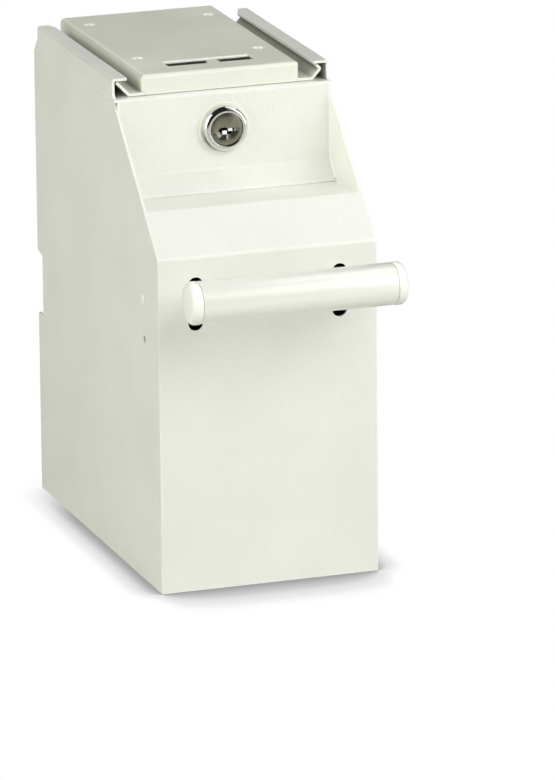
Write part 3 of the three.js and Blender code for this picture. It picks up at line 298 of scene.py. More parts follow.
# Shader node groups
def new_group(name, kind, takes, gives):
    """An empty node group; each input is (name, type, default) and each output (name, type)."""
    tree = bpy.data.node_groups.new(name, kind)
    for label, socket_type, default in takes:
        socket = tree.interface.new_socket(name=label, in_out="INPUT", socket_type="NodeSocket" + socket_type)
        if default is not None:
            socket.default_value = default
    for label, socket_type in gives:
        tree.interface.new_socket(name=label, in_out="OUTPUT", socket_type="NodeSocket" + socket_type)
    return tree, tree.nodes, tree.links, tree.nodes.new("NodeGroupInput"), tree.nodes.new("NodeGroupOutput")


def tinted(nodes, links, colour, value):
    """A colour made lighter or darker by a value around 1."""
    tint = nodes.new("ShaderNodeHueSaturation")
    links.new(value, tint.inputs["Value"])
    links.new(colour, tint.inputs["Color"])
    return tint.outputs["Color"]


def mixed(nodes, links, factor, first, second):
    """The first colour, replaced by the fixed second one as the factor rises."""
    mix = nodes.new("ShaderNodeMix")
    mix.data_type = "RGBA"
    mix.inputs["B"].default_value = second
    links.new(factor, mix.inputs["Factor"])
    links.new(first, mix.inputs["A"])
    return mix.outputs["Result"]


def map_range(nodes, links, value, span, result=(0.0, 1.0)):
    """A value's place in a span, as a number between both results."""
    node = nodes.new("ShaderNodeMapRange")
    node.inputs["From Min"].default_value = span[0]
    node.inputs["From Max"].default_value = span[1]
    node.inputs["To Min"].default_value = result[0]
    node.inputs["To Max"].default_value = result[1]
    links.new(value, node.inputs["Value"])
    return node


def coat_texture_group():
    """Powder coat: fine grain, soft orange peel and slow clouds of colour and gloss."""
    found = bpy.data.node_groups.get("coat_texture")
    if found:
        return found
    takes = (("Colour", "Color", GREY), ("Grain", "Float", 1.0), ("Clouds", "Float", 1.0),
             ("Roughness", "Float", 0.45))
    tree, nodes, links, inputs, outputs = new_group("coat_texture", "ShaderNodeTree", takes, SURFACE)
    place = nodes.new("ShaderNodeTexCoord")
    peel = noise_node(nodes, links, place.outputs["Object"], PEEL_SCALE, 2.0)
    grain = noise_node(nodes, links, place.outputs["Object"], GRAIN_SCALE, 1.0)
    clouds = noise_node(nodes, links, place.outputs["Object"], CLOUD_SCALE, 3.0)
    height = math_node(nodes, "MULTIPLY_ADD", links, grain.outputs["Fac"], GRAIN_SHARE, peel.outputs["Fac"])
    scaled = math_node(nodes, "MULTIPLY", links, height.outputs[0], inputs.outputs["Grain"])
    links.new(scaled.outputs[0], outputs.inputs["Height"])
    centred = math_node(nodes, "SUBTRACT", links, clouds.outputs["Fac"], 0.5)
    amount = math_node(nodes, "MULTIPLY", links, centred.outputs[0], inputs.outputs["Clouds"])
    value = math_node(nodes, "MULTIPLY_ADD", links, amount.outputs[0], CLOUD_TINT, 1.0)
    links.new(tinted(nodes, links, inputs.outputs["Colour"], value.outputs[0]), outputs.inputs["Colour"])
    plain = inputs.outputs["Roughness"]
    gloss = math_node(nodes, "MULTIPLY_ADD", links, amount.outputs[0], CLOUD_GLOSS, plain)
    links.new(gloss.outputs[0], outputs.inputs["Roughness"])
    return tree


def edge_highlight_and_fold_shade_group():
    """Painted highlight along a piece's edges and painted shade deep in its folds."""
    found = bpy.data.node_groups.get("edge_highlight_and_fold_shade")
    if found:
        return found
    # Its two amounts are the strengths of the painted highlight along edges and of the painted shade in
    # folds.
    takes = (("Colour", "Color", GREY), ("Edge highlight", "Float", 0.8), ("Fold shade", "Float", 0.9))
    tree, nodes, links, inputs, outputs = new_group("edge_highlight_and_fold_shade", "ShaderNodeTree", takes, SURFACE[:1])
    # The first mask is the painted highlight along edges, the second the painted shade in folds.
    thin = own_occlusion(nodes, links, True, EDGE_HIGHLIGHT_REACH, EDGE_HIGHLIGHT_SPAN)
    deep = own_occlusion(nodes, links, False, FOLD_SHADE_REACH, FOLD_SHADE_SPAN)
    coat = inputs.outputs["Colour"]
    for mask, amount, tint in ((thin, "Edge highlight", EDGE_HIGHLIGHT_COLOUR), (deep, "Fold shade", FOLD_SHADE_COLOUR)):
        factor = math_node(nodes, "MULTIPLY", links, mask.outputs["Result"], inputs.outputs[amount])
        coat = mixed(nodes, links, factor.outputs[0], coat, tint)
    links.new(coat, outputs.inputs["Colour"])
    return tree


def own_occlusion(nodes, links, inside, distance, span):
    """A mask from how much of a piece's own surface lies near a point, before or behind its face."""
    near = nodes.new("ShaderNodeAmbientOcclusion")
    near.only_local = True
    near.inside = inside
    near.samples = 8
    near.inputs["Distance"].default_value = distance
    return map_range(nodes, links, near.outputs["AO"], span)


def metal_wear_group():
    """Plated metal: fine rub marks, dull patches and a faint stain."""
    found = bpy.data.node_groups.get("metal_wear")
    if found:
        return found
    takes = (("Colour", "Color", GREY), ("Stretch", "Vector", EVEN), ("Roughness", "Float", 0.3),
             ("Wear", "Float", 1.0))
    tree, nodes, links, inputs, outputs = new_group("metal_wear", "ShaderNodeTree", takes, SURFACE)
    place = nodes.new("ShaderNodeTexCoord")
    stretch = nodes.new("ShaderNodeVectorMath")
    stretch.operation = "MULTIPLY"
    links.new(place.outputs["Object"], stretch.inputs[0])
    links.new(inputs.outputs["Stretch"], stretch.inputs[1])
    rub = noise_node(nodes, links, stretch.outputs["Vector"], RUB_SCALE, 3.0)
    patches = noise_node(nodes, links, place.outputs["Object"], PATCH_SCALE, 3.0)
    links.new(rub.outputs["Fac"], outputs.inputs["Height"])
    centred = math_node(nodes, "SUBTRACT", links, patches.outputs["Fac"], 0.5)
    amount = math_node(nodes, "MULTIPLY", links, centred.outputs[0], inputs.outputs["Wear"])
    value = math_node(nodes, "MULTIPLY_ADD", links, amount.outputs[0], PATCH_TINT, 1.0)
    links.new(tinted(nodes, links, inputs.outputs["Colour"], value.outputs[0]), outputs.inputs["Colour"])
    plain = inputs.outputs["Roughness"]
    rubbed = math_node(nodes, "MULTIPLY_ADD", links, rub.outputs["Fac"], RUB_GLOSS, plain)
    gloss = math_node(nodes, "MULTIPLY_ADD", links, amount.outputs[0], PATCH_GLOSS, rubbed.outputs[0])
    links.new(gloss.outputs[0], outputs.inputs["Roughness"])
    return tree


def noise_node(nodes, links, place, scale, detail):
    """Noise on a vector; the scale is in waves per metre."""
    noise = nodes.new("ShaderNodeTexNoise")
    noise.inputs["Scale"].default_value = scale
    noise.inputs["Detail"].default_value = detail
    links.new(place, noise.inputs["Vector"])
    return noise


def math_node(nodes, operation, links, *values):
    """A math node that takes numbers and other nodes' outputs."""
    node = nodes.new("ShaderNodeMath")
    node.operation = operation
    for i, value in enumerate(values):
        if isinstance(value, (int, float)):
            node.inputs[i].default_value = value
        else:
            links.new(value, node.inputs[i])
    return node


# Finishes
def new_material(name):
    """An empty finish with its surface shader."""
    material = bpy.data.materials.new(name)
    material.use_nodes = True
    tree = material.node_tree
    return material, tree.nodes, tree.links, tree.nodes["Principled BSDF"]


def with_group(tree, group_tree, values, strength, distance):
    """Places a shared group in a material and wires its colour, roughness and height."""
    nodes, links = tree.nodes, tree.links
    shader = nodes["Principled BSDF"]
    group = nodes.new("ShaderNodeGroup")
    group.node_tree = group_tree
    for name, value in values.items():
        group.inputs[name].default_value = value
    bump = nodes.new("ShaderNodeBump")
    bump.inputs["Strength"].default_value = strength
    bump.inputs["Distance"].default_value = distance
    links.new(group.outputs["Colour"], shader.inputs["Base Color"])
    links.new(group.outputs["Roughness"], shader.inputs["Roughness"])
    links.new(group.outputs["Height"], bump.inputs["Height"])
    links.new(bump.outputs["Normal"], shader.inputs["Normal"])
    return group


def painted(name, base, roughness, grain, clouds, gloss=0.3, edge=0.8):
    """Painted steel; the gloss is how metallic the paint looks, and the edge is how strong the painted
    highlight along its edges is.
    """
    name += "_finish"
    found = bpy.data.materials.get(name)
    if found:
        return found
    material, nodes, links, shader = new_material(name)
    values = {"Colour": (*base, 1.0), "Roughness": roughness, "Grain": grain, "Clouds": clouds}
    coat = with_group(material.node_tree, coat_texture_group(), values, COAT_BUMP, COAT_RELIEF)
    shader.inputs["Metallic"].default_value = gloss
    # Lighter colour along edges and darker colour in folds: a painted highlight and a painted shade.
    edges = nodes.new("ShaderNodeGroup")
    edges.node_tree = edge_highlight_and_fold_shade_group()
    edges.inputs["Edge highlight"].default_value = edge
    links.new(coat.outputs["Colour"], edges.inputs["Colour"])
    links.new(edges.outputs["Colour"], shader.inputs["Base Color"])
    return material


def plated(name, base, roughness, stretch, wear, strength=0.15):
    """Bare or plated metal."""
    name += "_finish"
    found = bpy.data.materials.get(name)
    if found:
        return found
    material, nodes, links, shader = new_material(name)
    values = {"Colour": (*base, 1.0), "Roughness": roughness, "Stretch": stretch, "Wear": wear}
    with_group(material.node_tree, metal_wear_group(), values, strength, METAL_RELIEF)
    shader.inputs["Metallic"].default_value = 1.0
    return material


def housing_paint():
    """Powder coat of the housing's sheets."""
    return painted("housing_paint", colours().housing, 0.42, 1.0, 1.0)


def bracket_paint():
    """Duller powder coat of the counter bracket."""
    return painted("bracket_paint", colours().bracket, 0.42, 1.0, 1.2)


def handle_paint():
    """Smoother paint of the grip tube and its arms."""
    return painted("handle_paint", colours().handle, 0.36, 0.5, 0.6)


def rivet_paint():
    """A paint a little lighter than the sheets, on the riveted heads."""
    return painted("rivet_paint", (0.99, 0.995, 0.945), 0.34, 0.8, 0.6)


def collar_paint():
    """The bracket's paint on the front lock's collar, with hardly any painted edge highlight."""
    return painted("collar_paint", colours().bracket, 0.42, 0.8, 0.8, 0.3, 0.1)


def shield_painted_shade():
    """Near-black paint on the shield behind the arm slots, a painted shade for the dark inside seen through
    them.
    """
    return painted("shield_painted_shade", colours().inner, 0.7, 1.4, 1.5, 0.0)


def cap_plastic():
    """Glossy moulded plastic, very slightly clouded."""
    found = bpy.data.materials.get("cap_plastic_finish")
    if found:
        return found
    material, nodes, links, shader = new_material("cap_plastic_finish")
    values = {"Colour": (*colours().cap, 1.0), "Roughness": 0.22, "Grain": 0.2, "Clouds": 0.4}
    with_group(material.node_tree, coat_texture_group(), values, 0.08, 0.0001)
    shader.inputs["Subsurface Weight"].default_value = 0.08
    shader.inputs["Subsurface Scale"].default_value = 0.002
    return material


def chrome():
    """Bright chrome; the attribute "foot" darkens it against the sheet, a painted shade at the bezel's foot.
    """
    material = plated("lock_chrome", colours().chrome, 0.05, EVEN, 0.25, 0.03)
    nodes, links = material.node_tree.nodes, material.node_tree.links
    if "foot painted shade" in nodes:
        return material
    shader = nodes["Principled BSDF"]
    foot = nodes.new("ShaderNodeAttribute")
    foot.name = "foot painted shade"
    foot.attribute_name = "foot"
    unshaded = shader.inputs["Base Color"].links[0].from_socket
    # Near-black painted shade where the attribute foot is high.
    shaded = mixed(nodes, links, foot.outputs["Fac"], unshaded, (0.07, 0.07, 0.06, 1.0))
    links.new(shaded, shader.inputs["Base Color"])
    return material


# Painted shade at the bezel's foot: its middle, how fast it grows along the rim and the depth it fades in
# over
FOOT_TURN = math.radians(110)
FOOT_GAIN = 1.6
FOOT_FLOOR = 0.3
FOOT_FADE = 0.5


def mark_foot(piece, nose, edge):
    """Writes the attribute "foot", the mask of the painted shade: 1 at the bezel's outer slope, below on the
    left, and 0 elsewhere.
    """
    foot = piece.data.attributes.new("foot", "FLOAT", "POINT")
    for vertex, value in zip(piece.data.vertices, foot.data):
        depth = abs(vertex.co.y / MM - nose[1])
        turn = math.atan2(vertex.co.z / MM - nose[2], vertex.co.x / MM - nose[0])
        below = FOOT_GAIN * math.cos(turn + FOOT_TURN) - FOOT_FLOOR
        value.value = min(max((depth - edge) / FOOT_FADE, 0.0), 1.0) * min(max(below, 0.0), 1.0)


def nickel():
    """Worn nickel at the mouth of the key slot."""
    return plated("worn_nickel", (0.86, 0.85, 0.80), 0.16, EVEN, 0.6, 0.1)


def ward_painted_glint():
    """The wards in the key slot: a light, mostly matt paint that stands in for the glint of their metal, a
    painted reflection.
    """
    return painted("keyway_ward_glint", (0.80, 0.80, 0.74), 0.3, 0.5, 1.5, 0.1)


def plug_metal():
    """Dull cast metal of the plugs' faces."""
    return plated("plug_metal", colours().plug, 0.34, EVEN, 2.2, 0.55)


def keyway_painted_shade():
    """The near-black inside of the key slot, a painted shade."""
    return plated("keyway_painted_shade", (0.05, 0.05, 0.045), 0.5, EVEN, 0.5)


def zinc():
    """Zinc plate of the cams, nuts, screws, spacers, pins and the flap."""
    return plated("zinc_steel", colours().zinc, 0.34, (1.0, 0.25, 1.0), 1.0, 0.2)


def nylon():
    """Plain nylon of the friction washers."""
    return painted("washer_nylon", colours().nylon, 0.5, 0.4, 0.5, 0.0)


# Mesh helpers
def new_piece(name, bm, material, smooth=40.0):
    """Turns a bmesh into an object at the origin; edges sharper than the angle stay sharp."""
    mesh = bpy.data.meshes.new(name)
    limit = math.radians(smooth)
    for face in bm.faces:
        face.smooth = True
    for edge in bm.edges:
        edge.smooth = len(edge.link_faces) == 2 and edge.calc_face_angle(0.0) < limit
    bm.to_mesh(mesh)
    bm.free()
    mesh.materials.append(material)
    piece = bpy.data.objects.new(name, mesh)
    bpy.context.scene.collection.objects.link(piece)
    return piece


def settle(piece, body, slot, *nodes):
    """Puts a finished piece on its body and hides the CAD nodes it stands for; its slot is not used."""
    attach(piece, body)
    if nodes:
        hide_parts(*nodes)


def soften(piece, width, segments=2, angle=32.0):
    """Rounds the sharp edges and keeps the flat faces flat."""
    bevel = piece.modifiers.new("edge rounding", "BEVEL")
    bevel.width = width * MM
    bevel.segments = segments
    bevel.limit_method = "ANGLE"
    bevel.angle_limit = math.radians(angle)
    bevel.use_clamp_overlap = True
    bevel.miter_outer = "MITER_ARC"
    flat = piece.modifiers.new("flat faces", "WEIGHTED_NORMAL")
    flat.keep_sharp = False
    flat.weight = 80
    dressed = bpy.data.meshes.new_from_object(piece.evaluated_get(bpy.context.evaluated_depsgraph_get()))
    piece.modifiers.clear()
    old = piece.data
    piece.data = dressed
    dressed.name = piece.name
    bpy.data.meshes.remove(old)


def merged_copy(node):
    """A CAD solid as one welded mesh with its flat faces joined."""
    bm = bmesh.new()
    bm.from_mesh(NODES[node].data)
    bmesh.ops.remove_doubles(bm, verts=bm.verts, dist=1e-6)
    bmesh.ops.dissolve_limit(bm, angle_limit=math.radians(0.6), use_dissolve_boundaries=False,
                             verts=bm.verts, edges=bm.edges)
    return bm


def sheet_piece(node, body, slot, material, edge):
    """A folded or cut sheet with rounded edges, in the place of its CAD node."""
    bm = merged_copy(node)
    piece = new_piece(node + "_sheet", bm, material, 180.0)
    soften(piece, edge)
    settle(piece, body, slot, node)


def refinish(material, *nodes):
    """Gives CAD nodes that keep their shape their finish."""
    for node in nodes:
        keeper = NODES[node]
        if not keeper.material_slots:
            keeper.data.materials.append(material)
        for slot in keeper.material_slots:
            slot.material = material


def axis_matrix(axis, centre):
    """From a profile about local +Z to the given direction at a point in millimetres."""
    turn = Vector((0, 0, 1)).rotation_difference(Vector(axis)).to_matrix().to_4x4()
    return Matrix.Translation(Vector(centre) * MM) @ turn @ Matrix.Scale(MM, 4)


def revolved(profile, axis, centre, count=96):
    """Surface of revolution; the profile is (radius, place along the axis) in millimetres."""
    bm = bmesh.new()
    rings = []
    for radius, along in profile:
        if radius < 1e-6:
            rings.append([bm.verts.new((0, 0, along))])
            continue
        ring = []
        for i in range(count):
            angle = 2 * math.pi * i / count
            ring.append(bm.verts.new((radius * math.cos(angle), radius * math.sin(angle), along)))
        rings.append(ring)
    closed = profile[0][0] > 1e-6
    for a, b in zip(rings, rings[1:] + rings[:1] if closed else rings[1:]):
        for i in range(count):
            j = (i + 1) % count
            corners = [a[i % len(a)], a[j % len(a)], b[j % len(b)], b[i % len(b)]]
            unique = list(dict.fromkeys(corners))
            if len(unique) > 2:
                bm.faces.new(unique)
    bmesh.ops.recalc_face_normals(bm, faces=bm.faces)
    bm.transform(axis_matrix(axis, centre))
    return bm


def arc(centre, radius, start, end, steps):
    """Points of an arc in the profile plane, angles in degrees."""
    points = []
    for i in range(steps + 1):
        angle = math.radians(start + (end - start) * i / steps)
        points.append((centre[0] + radius * math.cos(angle), centre[1] + radius * math.sin(angle)))
    return points


def skin(bm, rings):
    """Walls of quads between rings that have as many points each."""
    count = len(rings[0])
    for a, b in zip(rings, rings[1:]):
        for i in range(count):
            j = (i + 1) % count
            bm.faces.new([a[i], a[j], b[j], b[i]])


def swept(path, section):
    """A closed bar in millimetres: one section of (u, v) through points that each bring their two axes."""
    bm = bmesh.new()
    rings = []
    for point, (across, up) in path:
        rings.append([bm.verts.new(Vector(point) + across * u + up * v) for u, v in section])
    skin(bm, rings)
    bm.faces.new(rings[0][::-1])
    bm.faces.new(rings[-1])
    bmesh.ops.recalc_face_normals(bm, faces=bm.faces)
    bm.transform(Matrix.Scale(MM, 4))
    return bm


def join_bmeshes(parts):
    """Several bmeshes in one."""
    whole = bmesh.new()
    for part in parts:
        mesh = bpy.data.meshes.new("part")
        part.to_mesh(mesh)
        part.free()
        whole.from_mesh(mesh)
        bpy.data.meshes.remove(mesh)
    return whole


# Geometry Nodes for the hinge knuckles
def knuckle_tree():
    """Hollow knuckles in a row along Z: radius, bore, length, pitch, count and finish are inputs."""
    takes = (("Geometry", "Geometry", None), ("Radius", "Float", 0.003), ("Bore", "Float", 0.0015),
             ("Length", "Float", 0.03), ("Pitch", "Float", 0.06), ("Count", "Int", 3),
             ("Material", "Material", None))
    gives = (("Geometry", "Geometry"),)
    tree, nodes, links, inputs, outputs = new_group("hinge_knuckles", "GeometryNodeTree", takes, gives)
    both = nodes.new("GeometryNodeJoinGeometry")
    for label in ("Radius", "Bore"):
        circle = nodes.new("GeometryNodeCurvePrimitiveCircle")
        circle.inputs["Resolution"].default_value = 48
        links.new(inputs.outputs[label], circle.inputs["Radius"])
        links.new(circle.outputs["Curve"], both.inputs["Geometry"])
    fill = nodes.new("GeometryNodeFillCurve")
    links.new(both.outputs["Geometry"], fill.inputs["Curve"])
    extrude = nodes.new("GeometryNodeExtrudeMesh")
    extrude.inputs["Individual"].default_value = False
    links.new(fill.outputs["Mesh"], extrude.inputs["Mesh"])
    up = nodes.new("ShaderNodeCombineXYZ")
    up.inputs["Z"].default_value = 1.0
    links.new(up.outputs["Vector"], extrude.inputs["Offset"])
    links.new(inputs.outputs["Length"], extrude.inputs["Offset Scale"])
    flip = nodes.new("GeometryNodeFlipFaces")
    links.new(fill.outputs["Mesh"], flip.inputs["Mesh"])
    shell = nodes.new("GeometryNodeJoinGeometry")
    links.new(extrude.outputs["Mesh"], shell.inputs["Geometry"])
    links.new(flip.outputs["Mesh"], shell.inputs["Geometry"])
    weld = nodes.new("GeometryNodeMergeByDistance")
    weld.inputs["Distance"].default_value = 1e-6
    links.new(shell.outputs["Geometry"], weld.inputs["Geometry"])
    line = nodes.new("GeometryNodeMeshLine")
    step = nodes.new("ShaderNodeCombineXYZ")
    links.new(inputs.outputs["Pitch"], step.inputs["Z"])
    links.new(inputs.outputs["Count"], line.inputs["Count"])
    links.new(step.outputs["Vector"], line.inputs["Offset"])
    place = nodes.new("GeometryNodeInstanceOnPoints")
    links.new(line.outputs["Mesh"], place.inputs["Points"])
    links.new(weld.outputs["Geometry"], place.inputs["Instance"])
    real = nodes.new("GeometryNodeRealizeInstances")
    links.new(place.outputs["Instances"], real.inputs["Geometry"])
    finish = nodes.new("GeometryNodeSetMaterial")
    links.new(real.outputs["Geometry"], finish.inputs["Geometry"])
    links.new(inputs.outputs["Material"], finish.inputs["Material"])
    links.new(finish.outputs["Geometry"], outputs.inputs["Geometry"])
    return tree


def knuckle_row(name, base, radius, bore, length, pitch, count, material):
    """A row of knuckles from the node tree, made a plain mesh with its place in it."""
    holder = bpy.data.objects.new(name, bpy.data.meshes.new(name))
    bpy.context.scene.collection.objects.link(holder)
    tree = bpy.data.node_groups.get("hinge_knuckles") or knuckle_tree()
    modifier = holder.modifiers.new("knuckles", "NODES")
    modifier.node_group = tree
    values = {"Radius": radius * MM, "Bore": bore * MM, "Length": length * MM, "Pitch": pitch * MM,
              "Count": count, "Material": material}
    for item in tree.interface.items_tree:
        if item.in_out == "INPUT" and item.name in values:
            modifier[item.identifier] = values[item.name]
    made = bpy.data.meshes.new_from_object(holder.evaluated_get(bpy.context.evaluated_depsgraph_get()))
    holder.modifiers.clear()
    bm = bmesh.new()
    bm.from_mesh(made)
    bm.transform(Matrix.Translation(Vector(base) * MM))
    bmesh.ops.recalc_face_normals(bm, faces=bm.faces)
    bpy.data.objects.remove(holder)
    bpy.data.meshes.remove(made)
    piece = new_piece(name, bm, material)
    soften(piece, KNUCKLE_EDGE)
    return piece


# Pieces
class MakeShell(bpy.types.Operator):
    """Round the sheets of the housing and fill its weld seams"""
    bl_idname = "safe.make_shell"
    bl_label = "Make housing sheets"

    def execute(self, context):
        edge = sizes().sheet_edge
        paint = housing_paint()
        for node in ("side_panel_left", "side_panel_right", "top_deck"):
            sheet_piece(node, "housing", "housing_paint", paint, edge)
        sheet_piece("front_panel", "housing", "housing_paint", paint, sizes().front_edge)
        refinish(paint, "bottom_panel", "door_jamb")
        # The shield behind the arm slots gets a near-black painted shade.
        refinish(shield_painted_shade(), "slot_shield")
        self.seams(paint)
        return {"FINISHED"}

    def seams(self, paint):
        """Painted weld fillets in the recess's inner corners, and the filled seams under the deck's edges."""
        wall = abs(SIDE_HIGH.x)
        leg = sizes().seam_fillet
        bars = []
        for side in (-1, 1):
            bars.append(fillet_bar(side * wall, side, PANEL_LINE, leg))
            bars.append(fillet_bar(side * wall, side, LEDGE_LINE, leg))
        piece = new_piece("recess_fillets", join_bmeshes(bars), paint)
        settle(piece, "housing", "housing_paint")
        front = FRONT_Y + SEAM_START
        rear = SIDE_HIGH.y - SEAM_REAR_INSET
        fills = []
        for side in (-1, 1):
            axes = (Vector((side, 0, 0)), Vector((0, 0, 1)))
            fills.append(swept([((0, front, 0), axes), ((0, rear, 0), axes)], DECK_SEAM))
        settle(new_piece("deck_seam_fill", join_bmeshes(fills), paint), "housing", "housing_paint")
        ends = wall - WIPER_GAP
        axes = (Vector((0, 1, 0)), Vector((0, 0, 1)))
        lip = swept([((side * ends, 0, 0), axes) for side in (-1, 1)], WIPER_LIP)
        settle(new_piece("slot_wiper", lip, paint, 60.0), "housing", "housing_paint")


def fillet_bar(wall, side, line, leg):
    """A concave fillet between a side panel's inner face and a sheet that runs along a line of (y, z)."""
    hollow = [math.radians(a) for a in range(15, 90, 15)]
    curve = [(leg - leg * math.cos(a), leg - leg * math.sin(a)) for a in hollow]
    section = [(0.0, -FILLET_FOOT), (0.0, leg), *curve, (leg, 0.0), (leg, -FILLET_FOOT)]
    path = []
    for i, (y, z) in enumerate(line):
        before = line[max(i - 1, 0)]
        after = line[min(i + 1, len(line) - 1)]
        a = Vector((0, y - before[0], z - before[1]))
        b = Vector((0, after[0] - y, after[1] - z))
        a = a.normalized() if a.length > 0 else b.normalized()
        b = b.normalized() if b.length > 0 else a
        run = (a + b).normalized()
        out = Vector((0, run.z, -run.y)) / max(math.sqrt((1 + a.dot(b)) / 2), 0.5)
        across = Vector((-side, 0, 0))
        path.append(((wall + side * FILLET_SINK, y, z), (across, out)))
    return swept(path, section)


class MakeBracket(bpy.types.Operator):
    """Round the edges of the counter bracket"""
    bl_idname = "safe.make_bracket"
    bl_label = "Make bracket"

    def execute(self, context):
        bm = merged_copy("mounting_bracket")
        for vertex in bm.verts:
            if vertex.co.x > WING_INSIDE * MM and vertex.co.y > WING_REAR * MM:
                vertex.co.y -= WING_TRIM * MM
        sheet = new_piece("mounting_bracket_sheet", bm, bracket_paint(), 180.0)
        soften(sheet, sizes().bracket_edge)
        settle(sheet, "bracket", "bracket_paint", "mounting_bracket")
        rear = BRACKET_LOW.y + STRIKE_REAR
        top = BRACKET_HIGH.z - STRIKE_LIP_SINK
        section = [(rear + y, top + z) for y, z in STRIKE_LIP]
        axes = (Vector((0, 1, 0)), Vector((0, 0, 1)))
        lip = swept([((side * STRIKE_HALF, 0, 0), axes) for side in (-1, 1)], section)
        # The lip's lighter handle paint is partly a painted highlight.
        settle(new_piece("strike_lip", lip, handle_paint()), "bracket", "bracket_paint")
        return {"FINISHED"}


class MakeHandle(bpy.types.Operator):
    """Make the grip tube, its end caps and the arms"""
    bl_idname = "safe.make_handle"
    bl_label = "Make handle"

    def execute(self, context):
        s = sizes()
        centre = (0, GRIP_CENTRE.y, GRIP_CENTRE.z)
        radius = s.grip_radius
        wall = radius - TUBE_WALL
        half = s.grip_length / 2
        lip = TUBE_LIP
        right = arc((radius - lip, half - lip), lip, 0, 90, 4)
        left = arc((radius - lip, lip - half), lip, -90, 0, 4)
        tube = revolved([(wall, -half), *left, *right, (wall, half)], (1, 0, 0), centre, 128)
        settle(new_piece("grip_tube_round", tube, handle_paint()), "handle", "handle_paint", "grip_tube")
        for side, node in ((1, "end_cap_right"), (-1, "end_cap_left")):
            cap = self.cap(side, centre, wall - CAP_PLAY, half)
            settle(new_piece(node + "_round", cap, cap_plastic()), "handle", "cap_plastic", node)
        for node in ("handle_arm_left", "handle_arm_right"):
            arm = new_piece(node + "_bar", merged_copy(node), handle_paint())
            soften(arm, ARM_EDGE)
            settle(arm, "handle", "handle_paint", node)
        return {"FINISHED"}

    def cap(self, side, centre, bore, half):
        """One end cap: a stub in the tube, a fine groove against it and a rounded, slightly domed end."""
        s = sizes()
        seat = half + CAP_GAP
        flat = s.cap_radius - s.cap_round
        shoulder = s.cap_end - CAP_DOME
        edge = arc((flat, shoulder - s.cap_round), s.cap_round, 0, 80, 10)
        crown = [(r, s.cap_end - CAP_DOME * (r / flat) ** 2) for r in CAP_CROWN]
        groove = [(s.cap_radius + r, seat + along) for r, along in CAP_GROOVE]
        root = half - CAP_STUB
        profile = [(0.0, root), (bore, root), (bore, seat), *groove, *edge, *crown]
        return revolved(profile, (side, 0, 0), centre, 128)


def to_lock(bm, nose, way):
    """Turns a shape drawn on a plug's face, with its depth along Z, to its lock and faces it outwards."""
    facing = Matrix(((1, 0, 0, 0), (0, 0, way, 0), (0, 1, 0, 0), (0, 0, 0, 1)))
    bm.transform(Matrix.Translation(Vector(nose) * MM) @ facing @ Matrix.Scale(MM, 4))
    bmesh.ops.recalc_face_normals(bm, faces=bm.faces)


